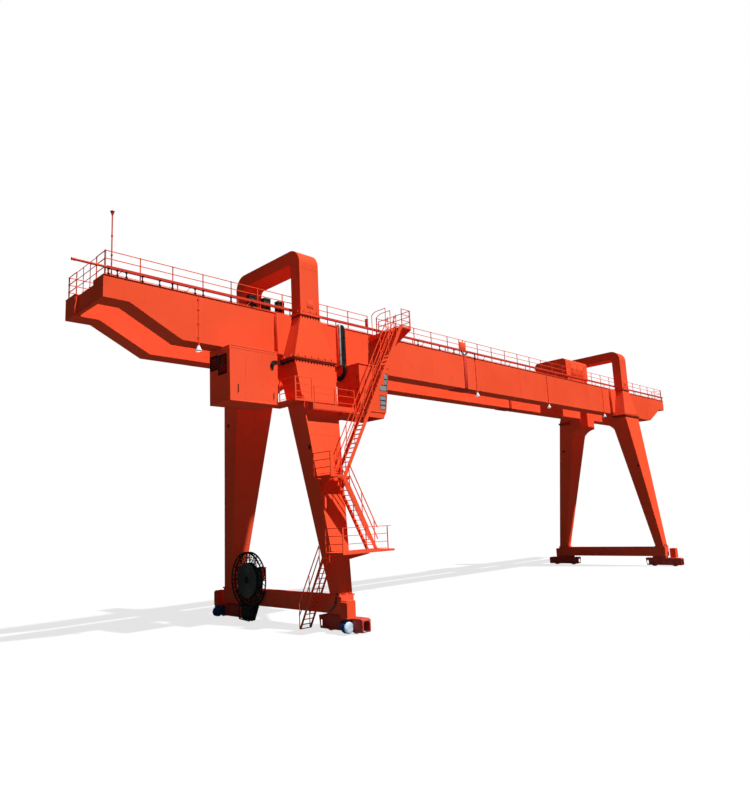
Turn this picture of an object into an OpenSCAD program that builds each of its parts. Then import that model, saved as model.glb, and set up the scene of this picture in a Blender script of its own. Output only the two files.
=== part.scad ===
// Double-girder gantry crane with saddle frames, as a 1:2 scale model.
// Millimetres. X runs along the girders, Y across them and Z up; the origin
// lies on the ground at mid-span, and the near side, with the stairs, is at -Y.

/* [Girders] */
// Distance between the two leg frames, centre to centre
span = 17500; // [15000:100:20000]
// Length of each girder end past its leg frame
overhang = 4950; // [4300:50:5400]
// Height of the girder tops above the ground
girder_top = 7450; // [7000:50:8000]
// Depth of a girder
girder_depth = 1080; // [950:10:1180]
// Width of a girder
girder_width = 500; // [460:10:540]
// Clear gap between the two girders
girder_gap = 1000; // [940:10:1060]
// Depth of a girder at its tip
tip_depth = 475; // [400:5:600]
// Length of the shallow part at a tip
tip_length = 540; // [400:10:700]
// Length over which the girder bottom rises to the tip
taper_length = 1175; // [900:25:1400]
// Sideways reach of the top flange past the web
flange_lip = 20; // [10:1:22]
// Thickness of the top flange lip
flange_t = 12; // [8:1:16]
// Thickness of the cross beams at the girder ends
end_beam_t = 90; // [60:5:140]
// Distance of the cross beams from the girder tips
end_beam_inset = 60; // [40:5:100]

/* [Trolley track] */
// Distance between the two trolley rails
trolley_gauge = 1240; // [1200:10:1280]
// Width of a trolley rail
rail_width = 35; // [30:1:45]
// Height of a trolley rail
rail_height = 60; // [45:1:75]
// Distance from a rail's end to the girder's tip
stop_inset = 330; // [300:10:340]
// Thickness of the stops at the rails' ends
stop_t = 60; // [40:5:80]

/* [Saddles] */
// Height of a saddle over the girder tops
saddle_rise = 1676; // [1600:5:1900]
// Thickness of a saddle's posts and cross beam
saddle_t = 347; // [300:1:380]
// Depth of a saddle along the girders
saddle_depth = 596; // [500:2:700]
// Gap between a saddle post and the girder side
saddle_gap = 44; // [40:1:60]
// Radius of a saddle's outer corners
saddle_corner_r = 380; // [300:10:460]
// Radius of a saddle's inner corners
saddle_inner_r = 120; // [60:10:200]

/* [Bolted joints] */
// Thickness of a bolting flange
joint_t = 32; // [24:1:40]
// Reach of a bolting flange past the wall
joint_lip = 36; // [24:1:45]
// Thickness of the panels that stiffen the girder webs at the legs
panel_t = 40; // [28:1:43]
// Reach of such a panel past the leg
panel_reach = 155; // [120:5:180]

/* [Legs] */
// Width of a leg at its top, along the girders
leg_top_width = 1250; // [1000:10:1400]
// Width of a leg at its foot, along the girders
leg_foot_width = 370; // [300:10:460]
// Height of the bolted joint at the top of a leg
leg_top = 6250; // [5900:10:6300]
// Distance of a leg's outer face from the middle, at its top
leg_top_out = 1524; // [1480:2:1600]
// Distance of a leg's inner face from the middle, at its top
leg_top_in = 860; // [820:5:900]
// Distance of a leg's outer face from the middle, at its foot
leg_foot_out = 2317; // [2250:2:2400]
// Thickness of a leg at its foot, across the girders
leg_foot_t = 330; // [280:10:380]
// Depth of the girder seat at its inner end
seat_depth = 400; // [300:10:450]
// Drop of the girder seat's curve down the leg
seat_drop = 280; // [150:10:350]

/* [Sill beams] */
// Height of a sill beam's top above the ground
sill_top = 768; // [740:2:800]
// Depth of a sill beam
sill_depth = 368; // [320:2:380]
// Width of a sill beam
sill_width = 372; // [340:2:400]
// Distance of a sill beam's end from the middle
sill_half_length = 2355; // [2330:5:2440]

/* [Bogies] */
// Diameter of a travel wheel's tread
wheel_d = 300; // [260:2:300]
// Width of a travel wheel's tread
wheel_width = 90; // [70:2:100]
// Diameter of a travel wheel's axle
axle_d = 56; // [44:2:64]
// Distance between the two wheels of a bogie
wheelbase = 820; // [760:10:860]
// Distance of a bogie's middle from the crane's middle
bogie_middle = 2217; // [2180:1:2250]
// Width of a bogie
bogie_width = 244; // [236:2:260]
// Height of a bogie's top above the ground
bogie_top = 330; // [326:1:345]
// Thickness of a bogie's side plates
bogie_plate_t = 24; // [16:1:28]
// Clearance between a wheel and the bearing boxes beside it
wheel_clear = 8; // [6:1:14]
// Clearance between the inner wheel and the plate that closes its box
wheel_end_clear = 13; // [8:1:16]
// Diameter of the bearing boxes
bearing_d = 150; // [120:5:170]
// Height of a bogie's underside above the ground
bogie_floor = 46; // [30:1:60]
// Length of a bogie past each wheel axle
bogie_nose = 303; // [300:1:303]
// Slant of a bogie's inner end
bogie_slant = 40; // [20:5:40]
// Distance from the crane's middle to the inner end of a bogie's seat
seat_in = 1800; // [1760:10:1820]
// Distance from the crane's middle to the outer end of a bogie's seat
seat_out = 2330; // [2250:10:2350]
// Width of the long holes at a bogie's inner end
lug_hole = 72; // [60:2:74]
// Height of those holes
lug_height = 156; // [130:2:160]
// Diameter of a travel drive's motor
motor_d = 226; // [200:2:230]
// Length of a travel drive's motor
motor_length = 145; // [120:5:180]
// Height of a travel drive's gear unit
gear_h = 262; // [230:2:270]
// Length of a travel drive's gear unit
gear_length = 100; // [90:5:120]
// Height of a gear unit's underside above the ground
gear_floor = 90; // [70:5:100]
// Distance from the crane's middle to a travel drive
drive_in = 2410; // [2380:10:2430]
// Reach of a travel drive from the leg frame's middle
drive_reach = 300; // [290:5:330]
// Height of a drive's upright housing
drive_h = 365; // [300:5:380]
// Width of a drive's upright housing
drive_w = 220; // [200:5:240]
// Distance from a drive's gear unit to its upright housing, across the girders
housing_step = 30; // [10:5:50]

/* [Electrical room] */
// Length of the electrical room along the girder
room_length = 1285; // [1200:5:1290]
// Distance from the left frame to the room's far wall
room_reach = 2275; // [2260:5:2400]
// Width of the electrical room across the girder
room_width = 830; // [700:10:900]
// Height of the electrical room
room_height = 1240; // [1100:10:1300]
// Reach of the room past the girder's side
room_proud = 330; // [250:5:340]
// Wall thickness of the electrical room
room_wall = 25; // [15:1:40]
// Width of the doors of the electrical room and the cab
door_w = 340; // [320:5:380]
// Height of those doors
door_h = 960; // [900:10:1000]
// Height of the hangers between a girder and what it carries
hanger_h = 22; // [15:1:30]

/* [Operator's cab] */
// Length of the cab along the girder
cab_length = 1063; // [1000:1:1100]
// Distance from the left frame to the cab's back wall
cab_offset = 1290; // [1250:5:1400]
// Width of the cab
cab_width = 850; // [760:10:900]
// Height of the cab
cab_height = 1229; // [1180:1:1260]
// Reach of the cab past the girder's side
cab_proud = 700; // [600:10:720]
// Wall thickness of the cab
cab_wall = 25; // [15:1:35]
// Lean of the cab's front over its sloping part
cab_slope_x = 144; // [100:2:200]
// Height of the sloping part of the cab's front
cab_slope_z = 1020; // [900:10:1080]
// Height of the frame under the cab
cab_base_h = 130; // [90:5:140]
// Width of a cab window's corner post
cab_post = 30; // [20:1:40]
// Thickness of the window panes
pane_t = 8; // [5:1:12]

/* [Walkways and stairs] */
// Height of the cab platform's floor above the ground
platform_z = 5010; // [4900:10:5040]
// Height of the step up to the platform's part at the electrical room's door
door_step_h = 165; // [140:5:170]
// Distance of that step from the left frame
door_step_reach = 428; // [420:2:440]
// Distance of the platform's outer edge from the middle
platform_out = 1930; // [1900:5:1935]
// Thickness of a walkway floor
floor_t = 20; // [12:1:26]
// Depth of a walkway's edge beam
fascia_h = 45; // [36:1:60]
// Width of a walkway's edge beam
fascia_t = 14; // [10:1:20]
// Height of the upper landing's floor below the girder top
landing_drop = 75; // [60:5:90]
// Length of the upper landing along the girder
top_landing_length = 345; // [320:5:400]
// Clear width of a stair flight with its stringers
stair_w = 300; // [280:5:300]
// Gap between neighbouring flights
flight_gap = 20; // [10:1:30]
// Distance of the stairs' inner side from the middle
stair_in = 1940; // [1938:1:1960]
// Slope of the stairs
stair_angle = 61; // [60:0.5:62]
// Slope of the lowest stair
lower_stair_angle = 61.5; // [60:0.5:64]
// Depth of a stringer, square to its slope
stringer_d = 90; // [70:5:100]
// Thickness of a stringer
stringer_t = 12; // [8:1:16]
// Depth of the lowest stair's stringers, square to their slope
lower_stringer_d = 54; // [48:2:64]
// Distance of a tread's edges inside its stringers' edges
tread_inset = 3; // [0.5:0.5:6]
// Thickness of a tread
tread_t = 12; // [8:1:16]
// Rise from tread to tread, at most
tread_rise = 116; // [100:2:130]
// Height of the middle landing above the ground
middle_landing_z = 3414; // [3380:2:3440]
// Height of the lower landing above the ground
lower_landing_z = 1735; // [1700:5:1760]
// Distance between the lowest stair and the leg's side
stair_clear = 30; // [25:1:40]
// Distance that the top of the lowest stair stands out from the leg's outer face
lower_stair_out = 110; // [90:5:130]
// Height of the lowest stair's foot above the ground
stair_foot_z = 70; // [50:5:90]
// Distance from the left frame to the upper landing
top_landing_offset = 2405; // [2380:5:2430]
// Length of the middle landing before each flight
middle_landing_step = 334; // [320:2:350]
// Distance from the left frame to the lower landing's right end
lower_landing_reach = 980; // [950:10:1000]
// Distance of the lower landing's outer edge from the middle
lower_landing_out = 2925; // [2900:5:2925]
// Drop of the bracket under the upper landing
bracket_drop = 640; // [600:10:700]

/* [Railings] */
// Height of a railing
rail_h = 520; // [480:10:550]
// Thickness of a railing's posts and bars
rail_bar = 18; // [15:1:20]
// Distance between railing posts, at most
post_pitch = 790; // [600:10:900]
// Height of the railing round the upper landing
landing_rail_h = 475; // [450:5:520]
// Height of the lowest stair's handrails at its top
low_rail_h = 420; // [380:5:440]
// Height of the lowest stair's handrails at its foot
foot_rail_h = 540; // [500:5:560]
// Height of a toe board
toe_h = 60; // [40:5:80]
// Height of the cab platform's toe board
platform_toe_h = 85; // [70:5:100]
// Thickness of the cab platform's toe board
toe_t = 6; // [4:1:10]

/* [Cable track] */
// Height of the cable track above the girder top
track_rise = 150; // [120:5:180]
// Diameter of the cable track's pipe
track_d = 34; // [26:2:40]
// Distance between the cable track's brackets, at most
track_pitch = 1550; // [1200:50:1800]

/* [Cable reel] */
// Radius of the cable reel
reel_r = 700; // [620:5:720]
// Width of the cable reel
reel_width = 110; // [90:5:130]
// Radius of the cable wound on the reel
reel_wound_r = 430; // [350:5:480]
// Height of the reel's shaft above the ground
reel_z = 1030; // [1010:5:1060]
// Distance of the reel's shaft from the crane's middle
reel_y = 1050; // [950:5:1060]
// Diameter of the reel's shaft
reel_shaft_d = 60; // [50:2:70]
// Width of the bracket that holds the reel's shaft
reel_stand_w = 300; // [240:10:340]
// Thickness of the cable guide under the reel
guide_t = 86; // [70:2:110]
// Height of the cable guide's lowest corner above the ground
guide_z = 14; // [10:1:30]
// Number of spokes in a reel flange
reel_spokes = 12; // [8:1:16]

/* [Trolley] */
// Place of the trolley's middle along the girders
trolley_x = 5911; // [5000:1:6500]
// Length of the trolley's house
house_length = 1740; // [1600:10:1800]
// Width of the trolley's house
house_width = 1400; // [1300:10:1450]
// Height of the trolley's house
house_height = 783; // [700:1:820]
// Radius of the house's roof edges
house_roof_r = 150; // [100:5:200]
// Wall thickness of the trolley's house
house_wall = 16; // [10:1:24]
// Diameter of a trolley wheel's tread
trolley_wheel_d = 160; // [140:2:164]
// Width of a trolley wheel's tread
trolley_tread_w = 46; // [46:1:56]
// Height of a trolley wheel's flanges
trolley_flange_h = 12; // [8:1:14]
// Diameter of a trolley wheel's axle
trolley_axle_d = 40; // [32:1:46]
// Distance between the trolley's wheels along the rail
trolley_wheelbase = 1200; // [1000:10:1300]
// Width of an end carriage
carriage_w = 150; // [130:5:170]
// Height of the trolley frame's underside above the rails
frame_clear = 40; // [30:2:50]
// Height of the trolley's frame beams
frame_h = 130; // [120:5:140]

/* [Hoist] */
// Diameter of a hoist rope
rope_d = 14; // [10:1:20]
// Height of the rope drum's axis over the trolley frame's underside
drum_rise = 230; // [220:5:250]
// Length of the rope drum
drum_length = 800; // [700:10:900]
// Length of the ropes with the hook raised
rope_length = 530; // [500:10:600]
// Diameter of the rope drum and of the hook block's sheaves
sheave_d = 200; // [170:5:220]
// Distance between neighbouring ropes
rope_pitch = 100; // [80:5:110]
// Thickness of the hook block's cheek plates
cheek_t = 16; // [10:1:22]
// Radius of the hook's bowl, to the middle of its bar
hook_r = 62; // [55:1:75]
// Diameter of the hook's bar
hook_bar = 40; // [30:1:46]

/* [Small fittings] */
// Height of the mast at the left girder end
mast_h = 1400; // [1200:10:1500]
// Diameter of the mast
mast_d = 26; // [20:2:34]
// Height of the widening head on the mast
mast_head_h = 90; // [60:5:120]
// Diameter of a floodlight's shade
lamp_d = 140; // [110:5:160]
// Height of a floodlight's shade
lamp_h = 120; // [90:5:140]
// Distance between the floodlights
lamp_pitch = 4420; // [4000:10:4500]
// Distance from the right frame to the nearest floodlight
lamp_inset = 1420; // [1300:10:1500]
// Distance from the left frame to the floodlight on the overhang
lamp_outset = 2850; // [2700:10:2900]
// Width of a resistor box
resistor_w = 190; // [150:5:220]
// Depth of a resistor box
resistor_t = 140; // [100:5:150]
// Distance between neighbouring resistor boxes
resistor_pitch = 410; // [350:10:450]
// Distance from the left frame to the farthest resistor box
resistor_reach = 1350; // [1300:10:1500]
// Height of a resistor box
resistor_h = 340; // [280:5:380]

/* [Hidden] */
half_span = span / 2;
half_length = half_span + overhang;
left_x = -half_span;
girder_in = girder_gap / 2;
girder_out = girder_in + girder_width;
girder_bottom = girder_top - girder_depth;
rail_y = trolley_gauge / 2;
rail_top = girder_top + rail_height;
saddle_in = girder_out + saddle_gap;
saddle_out = saddle_in + saddle_t;
saddle_top = girder_top + saddle_rise;
joint_z = girder_top - 20;
flange_in = girder_out + flange_lip + 5;
sill_bottom = sill_top - sill_depth;
leg_foot_z = sill_top + joint_t;
leg_foot_in = leg_foot_out - leg_foot_t;
fit_gap = 0.05;
seat_gap = 0.3;
paint = [0.93, 0.30, 0.16];
dark = [0.12, 0.12, 0.13];
steel = [0.55, 0.56, 0.58];
glass = [0.75, 0.82, 0.85];

// Places that several pieces share

function leg_half_width(z) = leg_foot_width / 2
    + (leg_top_width - leg_foot_width) / 2 * (z - leg_foot_z) / (leg_top - leg_foot_z);
function leg_out(z) = leg_foot_out
    + (leg_top_out - leg_foot_out) * (z - leg_foot_z) / (leg_top - leg_foot_z);
function leg_in(z) = leg_foot_in
    + (leg_top_in - leg_foot_in) * (z - leg_foot_z) / (leg_top - leg_foot_z);
function bezier(a, b, c, t) = a * (1 - t) * (1 - t) + b * 2 * t * (1 - t) + c * t * t;

// General shapes

module block(low, high) {
    translate(low) cube(high - low);
}

module bar(a, b, t) {
    run = b - a;
    translate(a) rotate([0, acos(run.z / norm(run)), atan2(run.y, run.x)])
        translate([-t / 2, -t / 2, 0]) cube([t, t, norm(run)]);
}

// An outline of X and Z, given a thickness from low to high along Y
module across_y(low, high) {
    translate([0, high, 0]) rotate([90, 0, 0]) linear_extrude(high - low) children();
}

// An outline of Y and Z, given a thickness from low to high along X
module across_x(low, high) {
    translate([low, 0, 0]) rotate([90, 0, 90]) linear_extrude(high - low) children();
}

// A run of railing over the floor line from a to b, between the middles of its end posts.
// Its bars are slimmer than its posts.
module rail_run(a, b, high = rail_h) {
    run = b - a;
    count = max(1, ceil(norm([run.x, run.y]) / post_pitch));
    up = [0, 0, 1];
    for (i = [0 : count]) {
        foot = a + run * i / count;
        bar(foot, foot + up * high, rail_bar);
    }
    for (h = [high / 3, high * 2 / 3, high - rail_bar * 0.4])
        bar(a + up * h, b + up * h, rail_bar * 0.8);
    bar(a + up * (toe_h / 2 + 6), b + up * (toe_h / 2 + 6), rail_bar * 0.5);
}

// Runs of railing from point to point; each starts beside the post that ends the last one
module rail_chain(points, high = rail_h) {
    for (i = [0 : len(points) - 2]) {
        run = points[i + 1] - points[i];
        start = i == 0 ? points[i] : points[i] + run / norm(run) * (rail_bar + seat_gap);
        rail_run(start, points[i + 1], high);
    }
}

// A walkway floor with its edge beams, from corner to corner
module deck(low, high, z) {
    block([low.x, low.y, z - floor_t], [high.x, high.y, z]);
    difference() {
        block([low.x, low.y, z - fascia_h], [high.x, high.y, z]);
        block([low.x + fascia_t, low.y + fascia_t, z - fascia_h - 1],
            [high.x - fascia_t, high.y - fascia_t, z - floor_t]);
    }
}

// A flight that falls toward -X from its top at x = 0, on y = 0 to stair_w
module flight(top_z, foot_z, angle = stair_angle, deep = stringer_d) {
    slope = tan(angle);
    wide = deep / sin(angle);
    back = fascia_h / slope;
    run = (top_z - foot_z) / slope;
    for (y = [0, stair_w - stringer_t])
        across_y(y, y + stringer_t)
            polygon([[0, top_z], [0, top_z - fascia_h], [back - run, foot_z],
                [back - run - wide, foot_z], [back - wide, top_z]]);
    count = ceil((top_z - foot_z) / tread_rise);
    rise = (top_z - foot_z) / count;
    for (i = [1 : count - 1]) {
        front = back - wide - rise * i / slope;
        block([front + tread_inset, stringer_t + seat_gap, top_z - rise * i - tread_t],
            [front + wide - tread_inset, stair_w - stringer_t - seat_gap, top_z - rise * i]);
    }
}

// The handrails of such a flight, one over each stringer, from height high at its top to
// foot_high at its foot. The last post stands foot_up over the foot, and reach is how far
// the bars run down past it.
module flight_rails(top_z, foot_z, angle = stair_angle, high = rail_h, reach = 0,
        deep = stringer_d, foot_high = rail_h, foot_up = 140) {
    edge = fascia_h / tan(angle) - deep / sin(angle);
    top = [edge - 260 / tan(angle), top_z - 260];
    foot = [edge - (top_z - foot_z - foot_up) / tan(angle), foot_z + foot_up];
    run = foot - top;
    count = max(1, ceil(norm(run) / post_pitch));
    past = run / norm(run) * reach;
    for (y = [stringer_t / 2, stair_w - stringer_t / 2]) {
        difference() {
            for (i = [0 : count]) {
                post = top + run * i / count;
                tall = high + (foot_high - high) * i / count;
                bar([post.x, y, post.y - rail_bar], [post.x, y, post.y + tall], rail_bar * 0.8);
            }
            across_y(y - rail_bar, y + rail_bar)
                polygon([top - run / count + [0, seat_gap], foot + run / count + [0, seat_gap],
                    foot + run / count - [0, deep], top - run / count - [0, deep]]);
        }
        for (h = [0.5, 1])
            bar([top.x, y, top.y + h * high], [foot.x + past.x, y, foot.y + past.y + h * foot_high],
                rail_bar);
    }
}

// Girders

module girder(low_y) {
    color(paint) {
        across_y(low_y, low_y + girder_width) girder_outline();
        block([-half_length, low_y - flange_lip, girder_top - flange_t],
            [half_length, low_y + girder_width + flange_lip, girder_top]);
    }
}

module girder_outline() {
    half = [
        [half_length, girder_top],
        [half_length, girder_top - tip_depth],
        [half_length - tip_length, girder_top - tip_depth],
        [half_length - tip_length - taper_length, girder_bottom]];
    polygon(concat(half, [for (i = [3 : -1 : 0]) [-half[i].x, half[i].y]]));
}

module near_girder() girder(-girder_out);

module far_girder() girder(girder_in);

module end_beams() {
    color(paint) for (s = [-1, 1]) {
        x = s * (half_length - end_beam_inset - end_beam_t / 2);
        top = girder_top - 40;
        foot = girder_top - tip_depth + 40;
        block([x - 8, -girder_in, foot], [x + 8, girder_in, top]);
        for (z = [foot, top - 16])
            block([x - end_beam_t / 2, -girder_in, z], [x + end_beam_t / 2, girder_in, z + 16]);
    }
}

module trolley_rails() {
    color(steel) for (s = [-1, 1]) {
        length = half_length - stop_inset;
        across_x(-length, length) translate([s * rail_y, girder_top]) {
            translate([-rail_width * 0.8, 0]) square([rail_width * 1.6, rail_height * 0.18]);
            translate([-rail_width * 0.18, 0]) square([rail_width * 0.36, rail_height * 0.8]);
            translate([-rail_width / 2, rail_height * 0.65]) square([rail_width, rail_height * 0.35]);
        }
        for (e = [-1, 1])
            translate([e * (length + stop_t / 2 + seat_gap), s * rail_y, girder_top])
                block([-stop_t / 2, -40, 0], [stop_t / 2, 40, rail_height + trolley_wheel_d * 0.75]);
    }
}

// Saddles over the girders

module rounded_arch(half, low, high, r) {
    translate([-half, low]) square([2 * half, high - low - r]);
    translate([-half + r, low]) square([2 * (half - r), high - low]);
    for (s = [-1, 1]) translate([s * (half - r), high - r]) circle(r, $fn = 64);
}

module saddle(x) {
    color(paint) translate([x, 0, 0]) {
        across_x(-saddle_depth / 2, saddle_depth / 2) difference() {
            rounded_arch(saddle_out, joint_z, saddle_top, saddle_corner_r);
            rounded_arch(saddle_in, joint_z - saddle_inner_r, saddle_top - saddle_t, saddle_inner_r);
        }
        for (s = [-1, 1]) joint_plate(s, saddle_out, flange_in, saddle_depth / 2, joint_z);
    }
}

// One plate of a bolted joint, on side s, from the inner to the outer distance
module joint_plate(s, out, inner, half, z) {
    low = s > 0 ? inner : -out - joint_lip;
    high = s > 0 ? out + joint_lip : -inner;
    block([-half - joint_lip, low, z], [half + joint_lip, high, z + joint_t]);
}

module left_saddle() saddle(-half_span);

module right_saddle() saddle(half_span);

// Leg heads beside the girders

module leg_head(x, s) {
    low = leg_top + joint_t;
    high = joint_z - joint_t;
    panel = leg_top_width / 2 + panel_reach;
    face = girder_out + panel_t;
    web = girder_out + seat_gap;
    translate([x, 0, 0]) {
        intersection() {
            across_x(-leg_top_width, leg_top_width)
                polygon([[s * girder_out, low], [s * leg_top_out, low],
                    [s * saddle_out, high], [s * girder_out, high]]);
            across_y(-leg_foot_out, leg_foot_out)
                polygon([[-leg_top_width / 2, low], [leg_top_width / 2, low],
                    [saddle_depth / 2, high], [-saddle_depth / 2, high]]);
        }
        joint_plate(s, saddle_out, flange_in, saddle_depth / 2, high);
        joint_plate(s, leg_top_out, girder_out, leg_top_width / 2, leg_top);
        block([-panel, s > 0 ? web : -face, girder_bottom + 20],
            [panel, s > 0 ? face : -web, girder_top - 40]);
    }
}

module leg_heads() {
    color(paint) for (x = [-half_span, half_span], s = [-1, 1]) leg_head(x, s);
}

// Legs

module leg(x, s) {
    seat_z = girder_bottom - seat_depth;
    curve_z = seat_z - seat_drop;
    seat_end = [s * girder_in, seat_z];
    leg_end = [s * leg_in(curve_z), curve_z];
    bend = [s * (girder_in + 60), seat_z - 60] * 0.35 + [s * leg_in(seat_z), seat_z] * 0.65;
    color(paint) translate([x, 0, 0]) {
        intersection() {
            across_x(-leg_top_width, leg_top_width) union() {
                polygon([[s * leg_foot_in, leg_foot_z], [s * leg_foot_out, leg_foot_z],
                    [s * leg_top_out, leg_top], [s * leg_top_in, leg_top]]);
                polygon(concat(
                    [[s * girder_out, leg_top - 300], [s * girder_out, girder_bottom],
                        [s * girder_in, girder_bottom]],
                    [for (i = [0 : 8]) bezier(seat_end, bend, leg_end, i / 8)],
                    [[s * leg_out(curve_z) * 0.5 + s * leg_in(curve_z) * 0.5, curve_z]]));
            }
            across_y(-leg_foot_out, leg_foot_out)
                polygon([[-leg_foot_width / 2, leg_foot_z], [leg_foot_width / 2, leg_foot_z],
                    [leg_top_width / 2, leg_top], [leg_top_width / 2, girder_top],
                    [-leg_top_width / 2, girder_top], [-leg_top_width / 2, leg_top]]);
        }
        joint_plate(s, leg_top_out, girder_out, leg_top_width / 2, leg_top - joint_t);
        joint_plate(s, leg_foot_out, leg_foot_in - joint_lip, leg_foot_width / 2, sill_top);
    }
}

module left_near_leg() leg(-half_span, -1);

module left_far_leg() leg(-half_span, 1);

module right_near_leg() leg(half_span, -1);

module right_far_leg() leg(half_span, 1);

// Sill beams and bogies

module sill_beam(x) {
    color(paint)
        block([x - sill_width / 2, -sill_half_length, sill_bottom],
            [x + sill_width / 2, sill_half_length, sill_top]);
}

module left_sill_beam() sill_beam(-half_span);

module right_sill_beam() sill_beam(half_span);

module bogie(x, s) {
    half = wheelbase / 2 + bogie_nose;
    outer = bogie_width / 2;
    slot = outer - bogie_plate_t;
    closed = wheelbase / 2 + wheel_d / 2 + wheel_end_clear;
    lug = closed + bogie_plate_t + lug_hole / 2 + 3;
    lug_end = (lug_height - lug_hole) / 2;
    roof = bogie_top - 20;
    color(paint) translate([x, s * bogie_middle, 0]) difference() {
        union() {
            difference() {
                across_x(-outer, outer)
                    polygon([[s * (bogie_slant - half), bogie_floor], [s * (half - 20), bogie_floor],
                        [s * half, bogie_floor + 20], [s * half, bogie_top - 30],
                        [s * (half - 60), bogie_top],
                        [s * (seat_out - bogie_middle), bogie_top],
                        [s * (seat_out - bogie_middle), sill_bottom],
                        [s * (seat_in - bogie_middle), sill_bottom],
                        [s * (seat_in - bogie_middle), bogie_top], [-s * half, bogie_top]]);
                across_x(-slot, slot)
                    polygon([[-s * closed, 0], [s * (half - bogie_plate_t), 0],
                        [s * (half - bogie_plate_t), roof], [-s * closed, roof]]);
                across_x(-slot, slot)
                    polygon([[-s * (half + 1), 0], [-s * (closed + bogie_plate_t), 0],
                        [-s * (closed + bogie_plate_t), roof], [-s * (half + 1), roof]]);
            }
            for (w = [-1, 1], e = [-1, 1])
                translate([e * (wheel_width / 2 + wheel_clear), w * wheelbase / 2, wheel_d / 2])
                    rotate([0, e * 90, 0])
                        cylinder(h = slot - wheel_width / 2 - wheel_clear + 4, d = bearing_d, $fn = 48);
        }
        across_y(s > 0 ? half - 2 * bogie_plate_t : -half - 1, s > 0 ? half + 1 : 2 * bogie_plate_t - half)
            polygon([[-slot * 0.92, bogie_floor + 24], [slot * 0.92, bogie_floor + 24],
                [slot * 0.92, bogie_floor + 200], [slot * 0.6, bogie_floor + 236],
                [-slot * 0.6, bogie_floor + 236], [-slot * 0.92, bogie_floor + 200]]);
        for (w = [-1, 1])
            translate([0, w * wheelbase / 2, wheel_d / 2]) rotate([0, 90, 0])
                cylinder(h = 4 * outer, d = axle_d + 2 * fit_gap, center = true, $fn = 48);
        translate([0, -s * lug, bogie_top / 2]) {
            block([-outer - 1, -lug_hole / 2, -lug_end], [outer + 1, lug_hole / 2, lug_end]);
            for (e = [-1, 1]) translate([0, 0, e * lug_end]) rotate([0, 90, 0])
                cylinder(h = 4 * outer, d = lug_hole, center = true, $fn = 32);
        }
    }
}

module left_near_bogie() bogie(-half_span, -1);

module left_far_bogie() bogie(-half_span, 1);

module right_near_bogie() bogie(half_span, -1);

module right_far_bogie() bogie(half_span, 1);

// Travel drives on the outward side of each bogie, with an upright housing over each
module travel_drives() {
    side = bogie_width / 2;
    middle = side + wheel_clear + motor_d / 2;
    for (e = [-1, 1], s = [-1, 1]) translate([e * half_span, s * drive_in, 0]) {
        color([0.13, 0.22, 0.35]) {
            across_y(s > 0 ? 0 : -gear_length, s > 0 ? gear_length : 0)
                polygon([[e * (side + seat_gap), gear_floor], [e * (drive_reach - 20), gear_floor],
                    [e * drive_reach, gear_floor + 20], [e * drive_reach, gear_h - 24],
                    [e * (drive_reach - 50), gear_h + 16], [e * (side + seat_gap), gear_h + 16]]);
            translate([e * middle, s * (gear_length - 5), wheel_d / 2]) rotate([-s * 90, 0, 0])
                cylinder(h = motor_length, d = motor_d, $fn = 48);
        }
        color(paint) translate([0, s * housing_step, bogie_top])
            difference() {
                across_y(s > 0 ? 0 : -drive_w, s > 0 ? drive_w : 0)
                    polygon([[e * 50, 0], [e * drive_reach, 0], [e * drive_reach, drive_h - 30],
                        [e * (drive_reach - 40), drive_h], [e * 50, drive_h]]);
                for (t = [0.3, 0.7])
                    translate([e * drive_reach, s * drive_w * t, drive_h - 90])
                        block([-8, -26, -30], [8, 26, 30]);
            }
    }
}

// A travel wheel with its axle; w is 1 for the outer wheel of its bogie
module travel_wheel(x, s, w) {
    outer = bogie_width / 2 - 6;
    color(steel) translate([x, s * (bogie_middle + w * wheelbase / 2), wheel_d / 2])
        rotate([0, 90, 0]) {
            cylinder(h = wheel_width, d = wheel_d - 36, center = true, $fn = 96);
            for (e = [-1, 1]) translate([0, 0, e * (wheel_width / 2 - 7)])
                cylinder(h = 14, d = wheel_d, center = true, $fn = 96);
            cylinder(h = 2 * outer, d = axle_d, center = true, $fn = 48);
        }
}

module left_near_outer_wheel() travel_wheel(-half_span, -1, 1);

module left_near_inner_wheel() travel_wheel(-half_span, -1, -1);

module left_far_outer_wheel() travel_wheel(-half_span, 1, 1);

module left_far_inner_wheel() travel_wheel(-half_span, 1, -1);

module right_near_outer_wheel() travel_wheel(half_span, -1, 1);

module right_near_inner_wheel() travel_wheel(half_span, -1, -1);

module right_far_outer_wheel() travel_wheel(half_span, 1, 1);

module right_far_inner_wheel() travel_wheel(half_span, 1, -1);

// Electrical room under the near girder

room_x = left_x - room_reach;
room_y = -girder_out - room_proud;
room_top = girder_bottom - hanger_h;
room_z = room_top - room_height;
room_end = room_x + room_length;
room_door_y = room_y + 60;

// Place, width and height of each vent in the room's end wall, from its lower near corner
vents = [[156, 645, 281, 399], [525, 790, 250, 284]];

module electrical_room() {
    color(paint) {
        difference() {
            block([room_x, room_y, room_z], [room_end, room_y + room_width, room_top]);
            block([room_x, room_y, room_z] + room_wall * [1, 1, 1],
                [room_end, room_y + room_width, room_top] - room_wall * [1, 1, 1]);
            translate([room_end - room_wall, room_door_y, room_z + room_wall])
                block([-1, 0, 0], [room_wall + 1, door_w, door_h]);
            for (v = vents) room_vent(v[0], v[1], v[2], v[3]);
        }
        for (v = vents) room_slats(v[0], v[1], v[2], v[3]);
        for (x = [room_x + 150, (room_x + room_end) / 2, room_end - 150])
            block([x - 40, -girder_out, room_top], [x + 40, -girder_in, girder_bottom]);
    }
}

module room_vent(y, z, w, h) {
    block([room_x - 1, room_y + y, room_z + z], [room_x + room_wall + 1, room_y + y + w, room_z + z + h]);
}

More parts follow.
